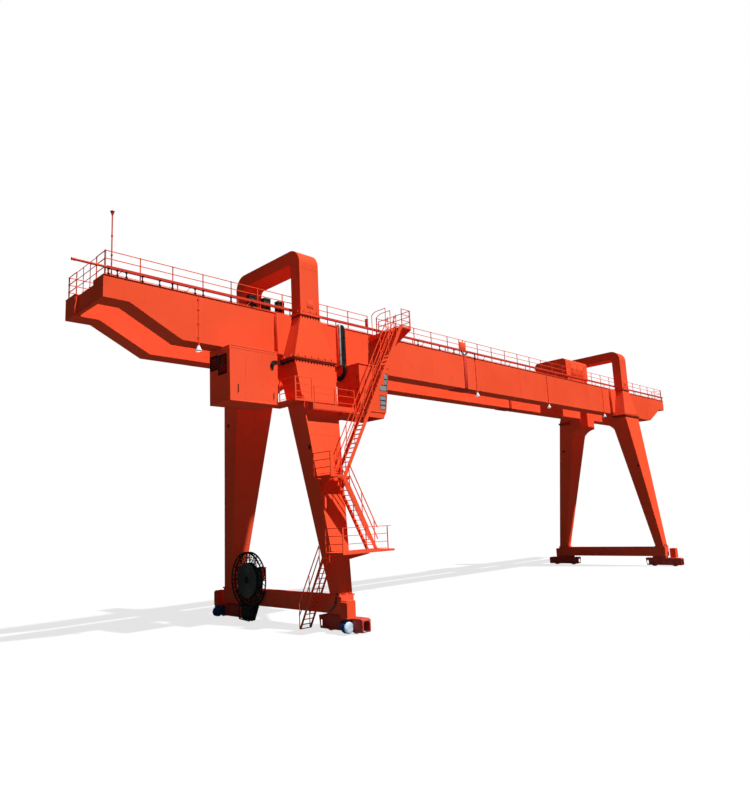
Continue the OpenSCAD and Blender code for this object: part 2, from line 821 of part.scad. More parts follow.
module room_slats(y, z, w, h) {
    count = floor(h / 45);
    for (i = [0 : count - 1])
        block([room_x + 4, room_y + y - 2, room_z + z + (i + 0.35) * h / count],
            [room_x + room_wall - 4, room_y + y + w + 2, room_z + z + (i + 0.65) * h / count]);
}

// Operator's cab beside and under the near girder

cab_x = left_x + cab_offset;
cab_end = cab_x + cab_length;
cab_y = -girder_out - cab_proud;
cab_far = cab_y + cab_width;
cab_top = girder_bottom - hanger_h;
cab_z = cab_top - cab_height;
cab_door_y = cab_y + 90;

// The front wall's place at a height
function cab_front(z) = cab_end
    - cab_slope_x * max(0, 1 - (z - cab_z) / cab_slope_z);

// Lower and upper edges of the window panes, above the cab's floor line
window_bands = [[80, 192], [204, 316], [328, 447], [581, 731], [743, 893], [905, 1052]];

module cab_outline(inset) {
    polygon([[cab_x + inset, cab_z + inset], [cab_front(cab_z) - inset, cab_z + inset],
        [cab_end - inset, cab_z + cab_slope_z], [cab_end - inset, cab_top - inset],
        [cab_x + inset, cab_top - inset]]);
}

// A pane of the side windows; the upper ones are narrower
module side_pane(low, high) {
    back = cab_end - (low > cab_height / 2 ? 165 : 348);
    polygon([[back, cab_z + low], [cab_front(cab_z + low) - cab_post, cab_z + low],
        [cab_front(cab_z + high) - cab_post, cab_z + high], [back, cab_z + high]]);
}

// A pane of the front windows, from depth a to depth b behind the front
module front_pane(low, high, a, b) {
    polygon([[cab_front(cab_z + low) - b, cab_z + low], [cab_front(cab_z + low) - a, cab_z + low],
        [cab_front(cab_z + high) - a, cab_z + high], [cab_front(cab_z + high) - b, cab_z + high]]);
}

module operator_cab() {
    color(paint) {
        difference() {
            across_y(cab_y, cab_far) cab_outline(0);
            across_y(cab_y + cab_wall, cab_far - cab_wall) cab_outline(cab_wall);
            for (w = window_bands) {
                across_y(cab_y - 1, cab_far + 1) side_pane(w[0], w[1]);
                across_y(cab_y + 60, cab_far - 60) front_pane(w[0], w[1], -5, cab_wall + 8);
            }
            translate([cab_x, cab_door_y, cab_z + cab_wall])
                block([-1, 0, 0], [cab_wall + 1, door_w, door_h]);
        }
        for (x = [cab_x + 150, cab_end - 250])
            block([x, -girder_out, cab_top], [x + 100, cab_far, girder_bottom]);
        difference() {
            across_y(cab_y + 10, cab_far - 10) cab_base(0);
            across_y(cab_y + 60, cab_far - 60) cab_base(50);
        }
    }
}

// Side view of the frame under the cab; its front leans back and its underside slopes
module cab_base(inset) {
    polygon([[cab_x + 20 + inset, cab_z + 10 - inset / 2],
        [cab_front(cab_z) - 10 - inset, cab_z + 10 - inset / 2],
        [cab_front(cab_z) - 90 - inset, cab_z - cab_base_h - 30 - inset],
        [cab_x + 20 + inset, cab_z - cab_base_h - inset]]);
}

module cab_windows() {
    color(glass) for (w = window_bands) {
        for (y = [cab_y + 4, cab_far - 4 - pane_t]) across_y(y, y + pane_t) side_pane(w[0], w[1]);
        across_y(cab_y + 60, cab_far - 60) front_pane(w[0], w[1], 4, 4 + pane_t);
    }
}

module upper_doors() {
    color(paint) {
        block([room_end - room_wall + 4, room_door_y, room_z + room_wall],
            [room_end - 6, room_door_y + door_w, room_z + room_wall + door_h]);
        block([cab_x + 6, cab_door_y, cab_z + cab_wall],
            [cab_x + cab_wall - 4, cab_door_y + door_w, cab_z + cab_wall + door_h]);
    }
}

// Platform round the left near leg at the cab's floor

platform_left = room_end + 30;
platform_right = cab_x - 6;
step_x = left_x - door_step_reach;
leg_clear = 10;

module cab_platform() {
    z = platform_z;
    door_z = z + door_step_h;
    in_left = left_x - leg_half_width(door_z) - leg_clear;
    in_right = left_x + leg_half_width(z) + leg_clear;
    y_face = -leg_out(z - fascia_h) - leg_clear;
    color(paint) {
        deck([step_x, -platform_out], [platform_right, y_face], z);
        deck([platform_left, -platform_out], [step_x, -leg_out(door_z - fascia_h) - leg_clear], door_z);
        deck([platform_left, -platform_out], [in_left, -girder_in - 300], door_z);
        deck([in_right, -platform_out], [platform_right, -girder_in - 300], z);
        block([step_x - fascia_t, -platform_out + 2, z - fascia_h + 2],
            [step_x + fascia_t, y_face - 2, door_z - 2]);
        platform_arm(-1, door_z);
        platform_arm(1, z);
    }
}

// An arm that carries the platform, with its floor at z, from the leg's side
module platform_arm(t, z) {
    top = z - fascia_h;
    foot = top - 60;
    middle = -(leg_out(top) + leg_in(top)) / 2;
    reach = leg_half_width(z) + leg_clear + 70;
    across_y(middle - 60, middle + 60)
        polygon([[left_x + t * (leg_half_width(foot) + seat_gap), foot], [left_x + t * reach, foot],
            [left_x + t * reach, top + 10],
            [left_x + t * (leg_half_width(top + 10) + seat_gap), top + 10]]);
    across_x(left_x + t * (reach - 25) - 15, left_x + t * (reach - 25) + 15)
        polygon([[-platform_out + 40, top - 20], [-platform_out + 40, top + 10],
            [middle + 30, top + 10], [middle + 30, foot + 5], [-leg_out(top), foot + 5]]);
}

// The run of railing past which a flight reaches the platform
function stair_x(z) = top_landing_x - (girder_top - landing_drop - z) / tan(stair_angle);

module cab_platform_railing() {
    y = -platform_out + rail_bar / 2;
    z = platform_z;
    door_z = z + door_step_h;
    gate = stair_x(z);
    left = platform_left + rail_bar / 2;
    right = platform_right - rail_bar;
    color(paint) {
        rail_chain([[left, room_y - 12, door_z], [left, y, door_z], [step_x - rail_bar * 2, y, door_z]]);
        rail_run([step_x + rail_bar * 2, y, z], [gate - 230, y, z]);
        rail_run([gate + 160, y, z], [right, y, z]);
        block([step_x + fascia_t, -platform_out - toe_t, z - 25],
            [gate - 250, -platform_out, z + platform_toe_h]);
    }
}

// Landings and stairs

top_landing_x = left_x + top_landing_offset;
top_landing_z = girder_top - landing_drop;
flight_y = -stair_in - stair_w;
middle_y = flight_y - flight_gap - stair_w;
upper_run = (top_landing_z - middle_landing_z) / tan(stair_angle);
foot_back = (stringer_d / sin(stair_angle)) - fascia_h / tan(stair_angle);
upper_foot = top_landing_x - upper_run - foot_back;
middle_top = upper_foot - middle_landing_step;
middle_left = middle_top - middle_landing_step;
middle_right = left_x + leg_half_width(middle_landing_z) - 76;
lower_left = left_x - leg_half_width(lower_landing_z) - stair_w - stair_clear;
lower_right = left_x + lower_landing_reach;
lower_out = lower_landing_out;
lower_stair_x = lower_left;

module top_landing() {
    low = top_landing_z - fascia_h;
    right = top_landing_x + top_landing_length;
    web = -girder_out - seat_gap;
    color(paint) {
        deck([top_landing_x, flight_y], [right, web], top_landing_z);
        across_x(right - fascia_t, right)
            polygon([[flight_y, low], [web, low], [web, low - bracket_drop], [flight_y, low - 12]]);
        across_x(top_landing_x, top_landing_x + fascia_t)
            polygon([[flight_y, low], [web, low], [web, low - 100], [flight_y, low - 12]]);
    }
}

module upper_stair() {
    color(paint) translate([top_landing_x, flight_y, 0]) flight(top_landing_z, middle_landing_z);
}

module middle_landing() {
    z = middle_landing_z;
    low = z - fascia_h;
    face = -leg_out(low - 260) - seat_gap;
    color(paint) {
        deck([middle_left, middle_y], [middle_top, face], z);
        deck([middle_left, flight_y - flight_gap / 2], [middle_right, face], z);
        for (s = [-1, 1])
            gusset(left_x + s * (middle_right - left_x - 30), flight_y, low, 260);
    }
}

// A gusset under a landing, from its outer end to the left near leg's outer face
module gusset(x, out, top, drop) {
    across_x(x - 8, x + 8)
        polygon([[out, top - 20], [out, top], [-leg_out(top) - seat_gap, top],
            [-leg_out(top - drop) - seat_gap, top - drop]]);
}

module middle_stair() {
    color(paint) translate([middle_top, middle_y + stair_w, 0]) rotate([0, 0, 180])
        flight(middle_landing_z, lower_landing_z);
}

module lower_landing() {
    z = lower_landing_z;
    low = z - fascia_h;
    color(paint) {
        deck([lower_left, -lower_out], [lower_right, lower_stair_y], z);
        deck([lower_left + stair_w + stair_clear, -lower_out], [lower_right, lower_face], z);
        for (s = [-1, 1])
            gusset(left_x + s * (leg_half_width(low - 150) - 16), -lower_out + 60, low, 150);
    }
}

lower_face = -leg_out(lower_landing_z - fascia_h - 150) - seat_gap;
lower_stair_y = lower_face - lower_stair_out;

module lower_stair() {
    front = fascia_h / tan(lower_stair_angle)
        - (lower_landing_z - stair_foot_z) / tan(lower_stair_angle);
    back = front - lower_stringer_d / sin(lower_stair_angle);
    color(paint) translate([lower_stair_x, lower_stair_y, 0]) rotate([0, 0, -90]) {
        flight(lower_landing_z, stair_foot_z, lower_stair_angle, lower_stringer_d);
        block([back + 8, stringer_t / 2, stair_foot_z - 2],
            [front - 12, stair_w - stringer_t / 2, stair_foot_z + tread_t]);
    }
}

module stair_handrails() {
    color(paint) {
        translate([top_landing_x, flight_y, 0]) flight_rails(top_landing_z, middle_landing_z);
        translate([middle_top, middle_y + stair_w, 0]) rotate([0, 0, 180])
            flight_rails(middle_landing_z, lower_landing_z, reach = 200);
        translate([lower_stair_x, lower_stair_y, 0]) rotate([0, 0, -90])
            flight_rails(lower_landing_z, stair_foot_z, lower_stair_angle, low_rail_h,
                deep = lower_stringer_d, foot_high = foot_rail_h, foot_up = 20);
    }
}

module landing_railings() {
    half = rail_bar / 2;
    right = top_landing_x + top_landing_length - half;
    m = middle_landing_z;
    l = lower_landing_z;
    post = lower_right - 200;
    outer = -lower_out + half;
    color(paint) {
        rail_chain([[right, -girder_out - 60, top_landing_z], [right, flight_y + half, top_landing_z],
            [top_landing_x + half, flight_y + half, top_landing_z]], landing_rail_h);
        rail_chain([[middle_left + half, -leg_out(m) - 40, m], [middle_left + half, middle_y + half, m],
            [middle_top - half, middle_y + half, m]]);
        rail_chain([[lower_left + half, lower_stair_y - 40, l], [lower_left + half, outer, l],
            [post, outer, l]]);
        bar([post, outer, l + rail_h - rail_bar * 0.4], [post + 110, outer, l + rail_h - rail_bar * 0.4],
            rail_bar * 0.8);
    }
}

// Railings along the girders

railing_y = girder_out - 35;
railing_end = half_length - 50;

module near_railing() {
    z = girder_top;
    color(paint) {
        rail_run([-railing_end, -railing_y, z], [top_landing_x - rail_bar / 2, -railing_y, z]);
        rail_run([top_landing_x + top_landing_length + rail_bar / 2, -railing_y, z],
            [railing_end, -railing_y, z]);
    }
}

module far_railing() {
    color(paint) rail_run([-railing_end, railing_y, girder_top], [railing_end, railing_y, girder_top]);
}

module end_railings() {
    y = railing_y - rail_bar * 1.5;
    color(paint) for (s = [-1, 1])
        for (t = [-1, 1])
            rail_run([s * railing_end, t * y, girder_top],
                [s * railing_end, t * (girder_in + 30), girder_top]);
}

// Cable track along the near girder

module cable_track() {
    y = -girder_out - 2;
    z = girder_top + track_rise;
    reach = half_length - 60;
    count = ceil(2 * reach / track_pitch);
    color(paint) {
        translate([-reach, y, z]) rotate([0, 90, 0]) cylinder(h = 2 * reach, d = track_d, $fn = 12);
        for (i = [0 : count]) {
            x = -reach + 30 + (2 * reach - 60) * i / count;
            block([x - 10, y - 10, girder_top], [x + 10, y + 10, z]);
        }
    }
}

module resistor_boxes() {
    color(dark) for (i = [0 : 2]) {
        x = left_x - resistor_reach + i * resistor_pitch;
        block([x - resistor_w / 2, -railing_y + 40, girder_top],
            [x + resistor_w / 2, -railing_y + 40 + resistor_t, girder_top + resistor_h]);
    }
}

module mast() {
    color(dark) translate([-half_length + 200, -railing_y + 60, girder_top]) {
        cylinder(h = mast_h - mast_head_h, d = mast_d, $fn = 24);
        translate([0, 0, mast_h - mast_head_h])
            cylinder(h = mast_head_h, d1 = mast_d, d2 = 3 * mast_d, $fn = 24);
    }
}

module floodlights() {
    last = half_span - lamp_inset;
    for (x = [last, last - lamp_pitch, last - 2 * lamp_pitch, last - 3 * lamp_pitch, left_x - lamp_outset])
        translate([x, -girder_out, girder_bottom]) {
            color(paint) block([-9, -18, -60], [9, 0, girder_depth - 60]);
            color(glass) translate([0, -9, -60 - lamp_h])
                cylinder(h = lamp_h, d1 = lamp_d, d2 = lamp_d * 0.25, $fn = 32);
        }
}

// Cable reel on the left sill beam

reel_x = left_x - sill_width / 2 - 40 - reel_width / 2;

module reel_stand() {
    face = left_x - sill_width / 2;
    color(paint) difference() {
        block([face + 20, reel_y - reel_stand_w / 2, sill_top],
            [face + 220, reel_y + reel_stand_w / 2, reel_z + 110]);
        translate([reel_x, reel_y, reel_z]) rotate([0, 90, 0])
            cylinder(h = 2000, d = reel_shaft_d + 2 * fit_gap, $fn = 48);
    }
    color(dark) difference() {
        across_x(face, face + guide_t) cable_guide(0);
        across_x(face + 10, face + guide_t - 10) cable_guide(12);
    }
}

// Side view of the hopper that guides the cable to the ground
module cable_guide(inset) {
    polygon([[reel_y - 210 + inset, sill_bottom], [reel_y - 10 + inset, guide_z - inset],
        [reel_y + 450 - inset, guide_z + 30 - inset], [reel_y + 450 - inset, sill_bottom]]);
}

module cable_reel() {
    color([0.10, 0.16, 0.14]) translate([reel_x, reel_y, reel_z]) rotate([0, 90, 0]) {
        cylinder(h = reel_width - 2, r = reel_wound_r, center = true, $fn = 96);
        for (e = [-1, 1]) translate([0, 0, e * (reel_width / 2 - 6)]) {
            difference() {
                cylinder(h = 12, r = reel_r, center = true, $fn = 96);
                cylinder(h = 14, r = reel_r - 45, center = true, $fn = 96);
            }
            for (i = [0 : reel_spokes - 1]) rotate([0, 0, 360 * i / reel_spokes])
                translate([reel_wound_r - 20, -14, -6]) cube([reel_r - reel_wound_r, 28, 12]);
        }
        cylinder(h = reel_width / 2 + 240, d = reel_shaft_d, $fn = 48);
    }
}

// Trolley on the girders

frame_z = rail_top + frame_clear;
house_z = frame_z + frame_h;
trolley_axle_z = rail_top + trolley_wheel_d / 2 + seat_gap;
drum_z = frame_z + drum_rise;
rope_y = sheave_d / 2 + rope_d / 2 + seat_gap;

module trolley_frame() {
    half = trolley_wheelbase / 2 + 190;
    reach = trolley_wheel_d / 2 + trolley_flange_h + 6;
    slot = trolley_tread_w / 2 + 10 + 6;
    color(paint) translate([trolley_x, 0, 0]) {
        for (s = [-1, 1]) difference() {
            block([-half, s * rail_y - carriage_w / 2, frame_z],
                [half, s * rail_y + carriage_w / 2, house_z]);
            for (w = [-1, 1]) translate([w * trolley_wheelbase / 2, s * rail_y, trolley_axle_z]) {
                block([-reach, -slot, -200], [reach, slot, 200]);
                rotate([90, 0, 0])
                    cylinder(h = 2 * carriage_w, d = trolley_axle_d + 2 * fit_gap, center = true, $fn = 48);
            }
        }
        for (w = [-1, 1]) {
            block([w * 400 - 60, -rail_y, frame_z + 10], [w * 400 + 60, rail_y, house_z - 10]);
            across_x(w * 400 - 12, w * 400 + 12)
                polygon([[-160, house_z - 30], [160, house_z - 30], [80, drum_z + 60], [-80, drum_z + 60]]);
        }
    }
    color(steel) translate([trolley_x, 0, drum_z]) rotate([0, 90, 0])
        cylinder(h = drum_length, d = sheave_d, center = true, $fn = 64);
}

// A trolley wheel with its axle; w is 1 towards the right frame and s is 1 on the far rail
module trolley_wheel(w, s) {
    half = trolley_tread_w / 2;
    color(steel) translate([trolley_x + w * trolley_wheelbase / 2, s * rail_y, trolley_axle_z])
        rotate([90, 0, 0]) {
            cylinder(h = trolley_tread_w, d = trolley_wheel_d, center = true, $fn = 64);
            for (e = [-1, 1]) translate([0, 0, e * (half + 5)])
                cylinder(h = 10, d = trolley_wheel_d + 2 * trolley_flange_h, center = true, $fn = 64);
            cylinder(h = carriage_w + 12, d = trolley_axle_d, center = true, $fn = 48);
        }
}

module trolley_left_near_wheel() trolley_wheel(-1, -1);

module trolley_left_far_wheel() trolley_wheel(-1, 1);

module trolley_right_near_wheel() trolley_wheel(1, -1);

module trolley_right_far_wheel() trolley_wheel(1, 1);

module trolley_house() {
    half_w = house_width / 2;
    half_l = house_length / 2;
    color(paint) translate([trolley_x, 0, 0]) difference() {
        across_x(-half_l, half_l) rounded_arch(half_w, house_z, house_z + house_height, house_roof_r);
        across_x(-half_l + house_wall, half_l - house_wall)
            rounded_arch(half_w - house_wall, house_z - 200, house_z + house_height - house_wall,
                house_roof_r - house_wall);
    }
}

// Hoist

sheave_z = drum_z - rope_length;
cheek_x = rope_pitch * 2 + cheek_t;
cross_z = sheave_z - sheave_d / 2 - 60;
hook_z = cross_z - 150 - hook_r;

module hoist_ropes() {
    color(steel) for (i = [-1.5 : 1 : 1.5], s = [-1, 1])
        translate([trolley_x + i * rope_pitch, s * rope_y, sheave_z])
            cylinder(h = rope_length, d = rope_d, $fn = 16);
}

module hook_block() {
    outer = sheave_d / 2 + 20;
    color(paint) translate([trolley_x, 0, 0]) {
        for (s = [-1, 1])
            across_x(s * cheek_x - cheek_t / 2, s * cheek_x + cheek_t / 2)
                polygon([[-70, cross_z - 40], [70, cross_z - 40], [outer, sheave_z - 40],
                    [outer, sheave_z + 30], [60, sheave_z + 90], [-60, sheave_z + 90],
                    [-outer, sheave_z + 30], [-outer, sheave_z - 40]]);
        block([-cheek_x, -60, cross_z - 40], [cheek_x, 60, cross_z + 40]);
    }
    color(dark) translate([trolley_x, 0, 0]) {
        translate([0, 0, sheave_z]) rotate([0, 90, 0]) {
            cylinder(h = 2 * cheek_x + 30, d = 50, center = true, $fn = 32);
            for (i = [-1.5 : 1 : 1.5]) translate([0, 0, i * rope_pitch])
                sheave();
        }
        translate([0, 0, hook_z + hook_r - 6])
            cylinder(h = cross_z - hook_z - hook_r, d = hook_bar, $fn = 32);
        translate([0, 0, hook_z]) rotate([90, 0, 0]) rotate([0, 0, -180]) hook_bowl();
    }
}

// A grooved sheave about Z
module sheave() {
    rotate_extrude($fn = 64) polygon([[20, -16], [outer_r(), -16], [outer_r(), -rope_d / 2 - 4],
        [sheave_d / 2, -rope_d / 2 - 1], [sheave_d / 2, rope_d / 2 + 1],
        [outer_r(), rope_d / 2 + 4], [outer_r(), 16], [20, 16]]);
}

function outer_r() = sheave_d / 2 + rope_d;

module hook_bowl() {
    rotate_extrude(angle = 270, $fn = 48) translate([hook_r, 0]) circle(d = hook_bar, $fn = 24);
}

near_girder();
far_girder();
end_beams();
trolley_rails();
left_saddle();
right_saddle();
leg_heads();
left_near_leg();
left_far_leg();
right_near_leg();
right_far_leg();
left_sill_beam();
right_sill_beam();
left_near_bogie();
left_far_bogie();
right_near_bogie();
right_far_bogie();
travel_drives();
left_near_outer_wheel();
left_near_inner_wheel();
left_far_outer_wheel();
left_far_inner_wheel();
right_near_outer_wheel();
right_near_inner_wheel();
right_far_outer_wheel();
right_far_inner_wheel();
electrical_room();
operator_cab();
cab_windows();
upper_doors();
cab_platform();
cab_platform_railing();
top_landing();
upper_stair();
middle_landing();
middle_stair();
lower_landing();
lower_stair();
stair_handrails();
landing_railings();
near_railing();
far_railing();
end_railings();
cable_track();
resistor_boxes();
mast();
floodlights();
reel_stand();
cable_reel();
trolley_frame();
trolley_house();
trolley_left_near_wheel();
trolley_left_far_wheel();
trolley_right_near_wheel();
trolley_right_far_wheel();
hoist_ropes();
hook_block();
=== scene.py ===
"""Gantry crane: finishes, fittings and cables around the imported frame, with the stage and the camera."""
import math

import bmesh
import bpy
from bpy.props import FloatProperty, FloatVectorProperty, PointerProperty
from bpy.types import Operator, Panel, PropertyGroup
from mathutils import Matrix, Vector


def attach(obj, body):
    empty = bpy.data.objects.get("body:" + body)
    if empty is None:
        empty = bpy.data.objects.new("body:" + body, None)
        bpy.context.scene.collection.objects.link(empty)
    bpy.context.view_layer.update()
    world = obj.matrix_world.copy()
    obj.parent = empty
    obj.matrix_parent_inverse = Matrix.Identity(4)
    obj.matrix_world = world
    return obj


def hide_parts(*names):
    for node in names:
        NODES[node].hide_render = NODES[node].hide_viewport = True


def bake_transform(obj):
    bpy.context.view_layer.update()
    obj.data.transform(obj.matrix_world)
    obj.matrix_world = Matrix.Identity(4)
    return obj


bl_info = {
    "name": "Gantry crane dressing",
    "version": (1, 0, 0),
    "blender": (4, 5, 0),
    "location": "View3D > Sidebar > Gantry crane",
    "description": "Adds the paint, fittings, cables and stage to the gantry crane frame",
    "category": "Object",
}

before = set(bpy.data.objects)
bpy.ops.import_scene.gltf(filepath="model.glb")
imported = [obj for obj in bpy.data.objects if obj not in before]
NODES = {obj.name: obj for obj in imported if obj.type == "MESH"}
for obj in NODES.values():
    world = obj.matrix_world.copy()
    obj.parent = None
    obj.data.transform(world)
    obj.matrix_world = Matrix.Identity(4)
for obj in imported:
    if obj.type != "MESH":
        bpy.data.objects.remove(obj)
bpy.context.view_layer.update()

# Photograph's frame in pixels, which the camera's shift is worked out from
PHOTO_WIDTH = 750
PHOTO_HEIGHT = 800


def colour_property(name, description, default):
    return FloatVectorProperty(name=name, description=description, subtype="COLOR",
                               size=3, min=0.0, max=1.0, default=default)


class CranePaint(PropertyGroup):
    """Colours of the finishes."""
    paint: colour_property("Paint", "Orange-red paint of the steelwork", (0.86, 0.086, 0.030))
    dark_paint: colour_property("Bogie paint", "Deep red of the bogies", (0.62, 0.050, 0.030))
    # Dark brown of the joints' packing, bolts and cable ports: partly rust of bare edges, partly painted
    # shade under the flange lips and in the port holes
    seam: colour_property("Seam", "Brown of the joints' packing and bolts", (0.15, 0.020, 0.012))
    # Floor-plate colour: dirt and wear, and also kept dark as painted shade, so that the decks throw little
    # light up onto the leg heads above them
    tread: colour_property("Tread", "Dirty, foot-worn paint of the floor plates", (0.16, 0.040, 0.026))
    boxes: colour_property("Resistor boxes", "Olive grey of the boxes on the girder", (0.095, 0.090, 0.055))
    drive: colour_property("Drive", "Blue of the travel gear motors", (0.02, 0.10, 0.30))
    reel: colour_property("Reel", "Green-black of the cable reel", (0.009, 0.030, 0.026))
    steel: colour_property("Steel", "Worn steel of rails and treads", (0.33, 0.32, 0.31))
    black: colour_property("Black", "Black of louvres, clips and nuts", (0.014, 0.016, 0.016))
    cowl: colour_property("Cowl", "Pale blue-white of the fan cowls", (0.60, 0.70, 0.82))
    rubber: colour_property("Rubber", "Black of hoses and buffers", (0.012, 0.012, 0.013))
    glass: colour_property("Glass", "Tinted window glass", (0.16, 0.20, 0.20))
    floor: colour_property("Floor", "Pale floor of the stage", (0.20, 0.20, 0.20))
    ground: colour_property("Ground", "Light that the floor throws up", (0.145, 0.155, 0.185))


class CraneStage(PropertyGroup):
    """Camera and light."""
    yaw: FloatProperty(name="Camera yaw", description="Turn of the camera from +X towards +Y",
                       subtype="ANGLE", default=math.radians(45.364))
    pitch: FloatProperty(name="Camera pitch", description="Upward tilt of the camera",
                         subtype="ANGLE", default=math.radians(9.209))
    roll: FloatProperty(name="Camera roll", description="Roll about the line of sight",
                        subtype="ANGLE", default=math.radians(-2.620))
    sun_strength: FloatProperty(name="Sun strength", description="Strength of the key light",
                                default=4.8, min=0.0, max=20.0)
    back_strength: FloatProperty(name="Back strength", description="Strength of the lamp behind",
                                 default=0.55, min=0.0, max=20.0)
    sky_strength: FloatProperty(name="Sky strength", description="Strength of the soft fill light",
                                default=0.08, min=0.0, max=5.0)


# Materials

class Shader:
    """A material's node tree, built a node at a time."""

    def __init__(self, name):
        self.material = bpy.data.materials.new(name)
        self.material.use_nodes = True
        self.tree = self.material.node_tree
        self.surface = self.tree.nodes["Principled BSDF"]
        self.place = self.tree.nodes.new("ShaderNodeTexCoord").outputs["Object"]

    def node(self, kind, inputs=(), **settings):
        made = self.tree.nodes.new("ShaderNode" + kind)
        for key, value in settings.items():
            setattr(made, key, value)
        for key, value in dict(inputs).items():
            self.feed(made.inputs[key], value)
        return made

    def feed(self, socket, value):
        if isinstance(value, bpy.types.NodeSocket):
            self.tree.links.new(value, socket)
        else:
            socket.default_value = value

    def stretched(self, scale, offset=(0, 0, 0)):
        mapping = self.node("Mapping", {"Vector": self.place, "Scale": scale, "Location": offset})
        return mapping.outputs["Vector"]

    def noise(self, scale, detail=3.0, where=None, roughness=0.55):
        made = self.node("TexNoise", {"Vector": where or self.place, "Scale": scale,
                                      "Detail": detail, "Roughness": roughness})
        return made.outputs["Fac"]

    def band(self, value, low, high, to_low=0.0, to_high=1.0):
        made = self.node("MapRange", {"Value": value, "From Min": low, "From Max": high,
                                      "To Min": to_low, "To Max": to_high},
                         interpolation_type="SMOOTHSTEP")
        return made.outputs["Result"]

    def times(self, a, b):
        return self.node("Math", {0: a, 1: b}, operation="MULTIPLY").outputs[0]

    def larger(self, a, b):
        return self.node("Math", {0: a, 1: b}, operation="MAXIMUM").outputs[0]

    def height(self):
        """The Z of a point, for dirt that gathers low down."""
        split = self.node("SeparateXYZ", {"Vector": self.place})
        return split.outputs["Z"]

    def mix(self, factor, a, b):
        made = self.node("Mix", data_type="RGBA")
        self.feed(made.inputs["Factor"], factor)
        self.feed(made.inputs[6], a)
        self.feed(made.inputs[7], b)
        return made.outputs[2]

    def bump(self, height, distance, strength=1.0, normal=None):
        inputs = {"Height": height, "Distance": distance, "Strength": strength}
        if normal:
            inputs["Normal"] = normal
        return self.node("Bump", inputs).outputs["Normal"]

    def set(self, **inputs):
        for key, value in inputs.items():
            self.feed(self.surface.inputs[key.replace("_", " ")], value)
        return self.material


def rgba(colour, k=1.0):
    return (colour[0] * k, colour[1] * k, colour[2] * k, 1.0)


# Colours of what gathers on the paint or shows through it
RUST_STAIN = rgba((0.20, 0.075, 0.04))
GROUND_DUST = rgba((0.26, 0.19, 0.15))
BARE_RUST = rgba((0.10, 0.035, 0.018))
LAMP_WHITE = (0.84, 0.83, 0.80)
IRON_GREY = (0.05, 0.048, 0.046)


def painted_steel(name, colour, fade=0.5, grime=1.0, gloss=0.36):
    """Sprayed enamel on plate: faded patches, rain streaks, chips with rust, dust near the ground."""
    s = Shader(name)
    patches = s.band(s.noise(0.45, 4.0), 0.35, 0.72)
    base = s.mix(s.times(patches, fade), rgba(colour), rgba([min(1, c * 1.18 + 0.015) for c in colour]))
    streaks = s.band(s.noise(1.0, 5.0, s.stretched((9.0, 9.0, 0.55))), 0.56, 0.80)
    base = s.mix(s.times(streaks, 0.22 * grime), base, rgba(colour, 0.45))
    blotch = s.band(s.noise(2.6, 6.0), 0.60, 0.78)
    base = s.mix(s.times(blotch, 0.16 * grime), base, RUST_STAIN)
    dust = s.times(s.band(s.height(), 1.3, 0.0), s.band(s.noise(5.0, 4.0), 0.35, 0.75))
    base = s.mix(s.times(dust, 0.35 * grime), base, GROUND_DUST)
    chips = s.band(s.noise(38.0, 5.0, roughness=0.7), 0.725, 0.745)
    where = s.band(s.noise(1.7, 2.0), 0.52, 0.62)
    chipped = s.times(chips, where)
    base = s.mix(s.times(chipped, 0.85 * grime), base, BARE_RUST)
    rough = s.band(s.noise(7.0, 4.0), 0.3, 0.7, gloss - 0.06, gloss + 0.14)
    peel = s.bump(s.noise(160.0, 2.0), 0.0006)
    waves = s.bump(s.noise(1.1, 1.0), 0.012, 0.6, peel)
    pits = s.bump(chipped, -0.0006, 1.0, waves)
    return s.set(Base_Color=base, Roughness=rough, Normal=pits, Specular_IOR_Level=0.0)


# Heights at which one paint ends and the next begins on the lamps and on the drives
LAMP_TOP_Z = 6.310
BOGIE_TOP_Z = 0.330


def two_part_paint(name, lower, upper, height):
    """Enamel in two colours, one under a height and one over it."""
    s = Shader(name)
    over = s.band(s.height(), height - 0.002, height + 0.002)
    base = s.mix(over, rgba(lower), rgba(upper))
    blotch = s.band(s.noise(2.6, 6.0), 0.55, 0.78)
    base = s.mix(s.times(blotch, 0.22), base, (0.16, 0.07, 0.045, 1))
    return s.set(Base_Color=base, Roughness=s.band(s.noise(7.0, 4.0), 0.3, 0.7, 0.32, 0.5),
                 Normal=s.bump(s.noise(160.0, 2.0), 0.0006), Specular_IOR_Level=0.0)


def chequered_plate(name, colour):
    """Painted floor plate with raised lozenges, scuffed where feet tread."""
    s = Shader(name)
    raised = None
    for turn in (0.785, -0.785):
        turned = s.node("Mapping", {"Vector": s.place, "Rotation": (0, 0, turn),
                                    "Scale": (26.0, 60.0, 1.0)})
        cells = s.node("TexVoronoi", {"Vector": turned.outputs["Vector"], "Scale": 1.0,
                                      "Randomness": 0.0}, voronoi_dimensions="2D")
        spot = s.band(cells.outputs["Distance"], 0.42, 0.22)
        raised = s.larger(raised, spot) if raised else spot
    scuff = s.times(raised, s.band(s.noise(4.0, 4.0), 0.42, 0.66))
    base = s.mix(s.times(s.band(s.noise(5.0, 5.0), 0.45, 0.75), 0.4), rgba(colour), RUST_STAIN)
    base = s.mix(s.times(scuff, 0.7), base, (0.34, 0.30, 0.28, 1))
    return s.set(Base_Color=base, Roughness=0.5, Normal=s.bump(raised, 0.002), Specular_IOR_Level=0.3)


def worn_steel(name, colour, rough=0.42):
    s = Shader(name)
    base = s.mix(s.band(s.noise(6.0, 5.0), 0.35, 0.7), rgba(colour), rgba(colour, 0.5))
    rust = s.band(s.noise(3.0, 6.0), 0.58, 0.74)
    base = s.mix(s.times(rust, 0.6), base, (0.14, 0.05, 0.022, 1))
    scratch = s.noise(1.0, 4.0, s.stretched((2.0, 90.0, 90.0)))
    return s.set(Base_Color=base, Metallic=0.85,
                 Roughness=s.band(rust, 0.0, 1.0, rough, 0.75),
                 Normal=s.bump(scratch, 0.0008))


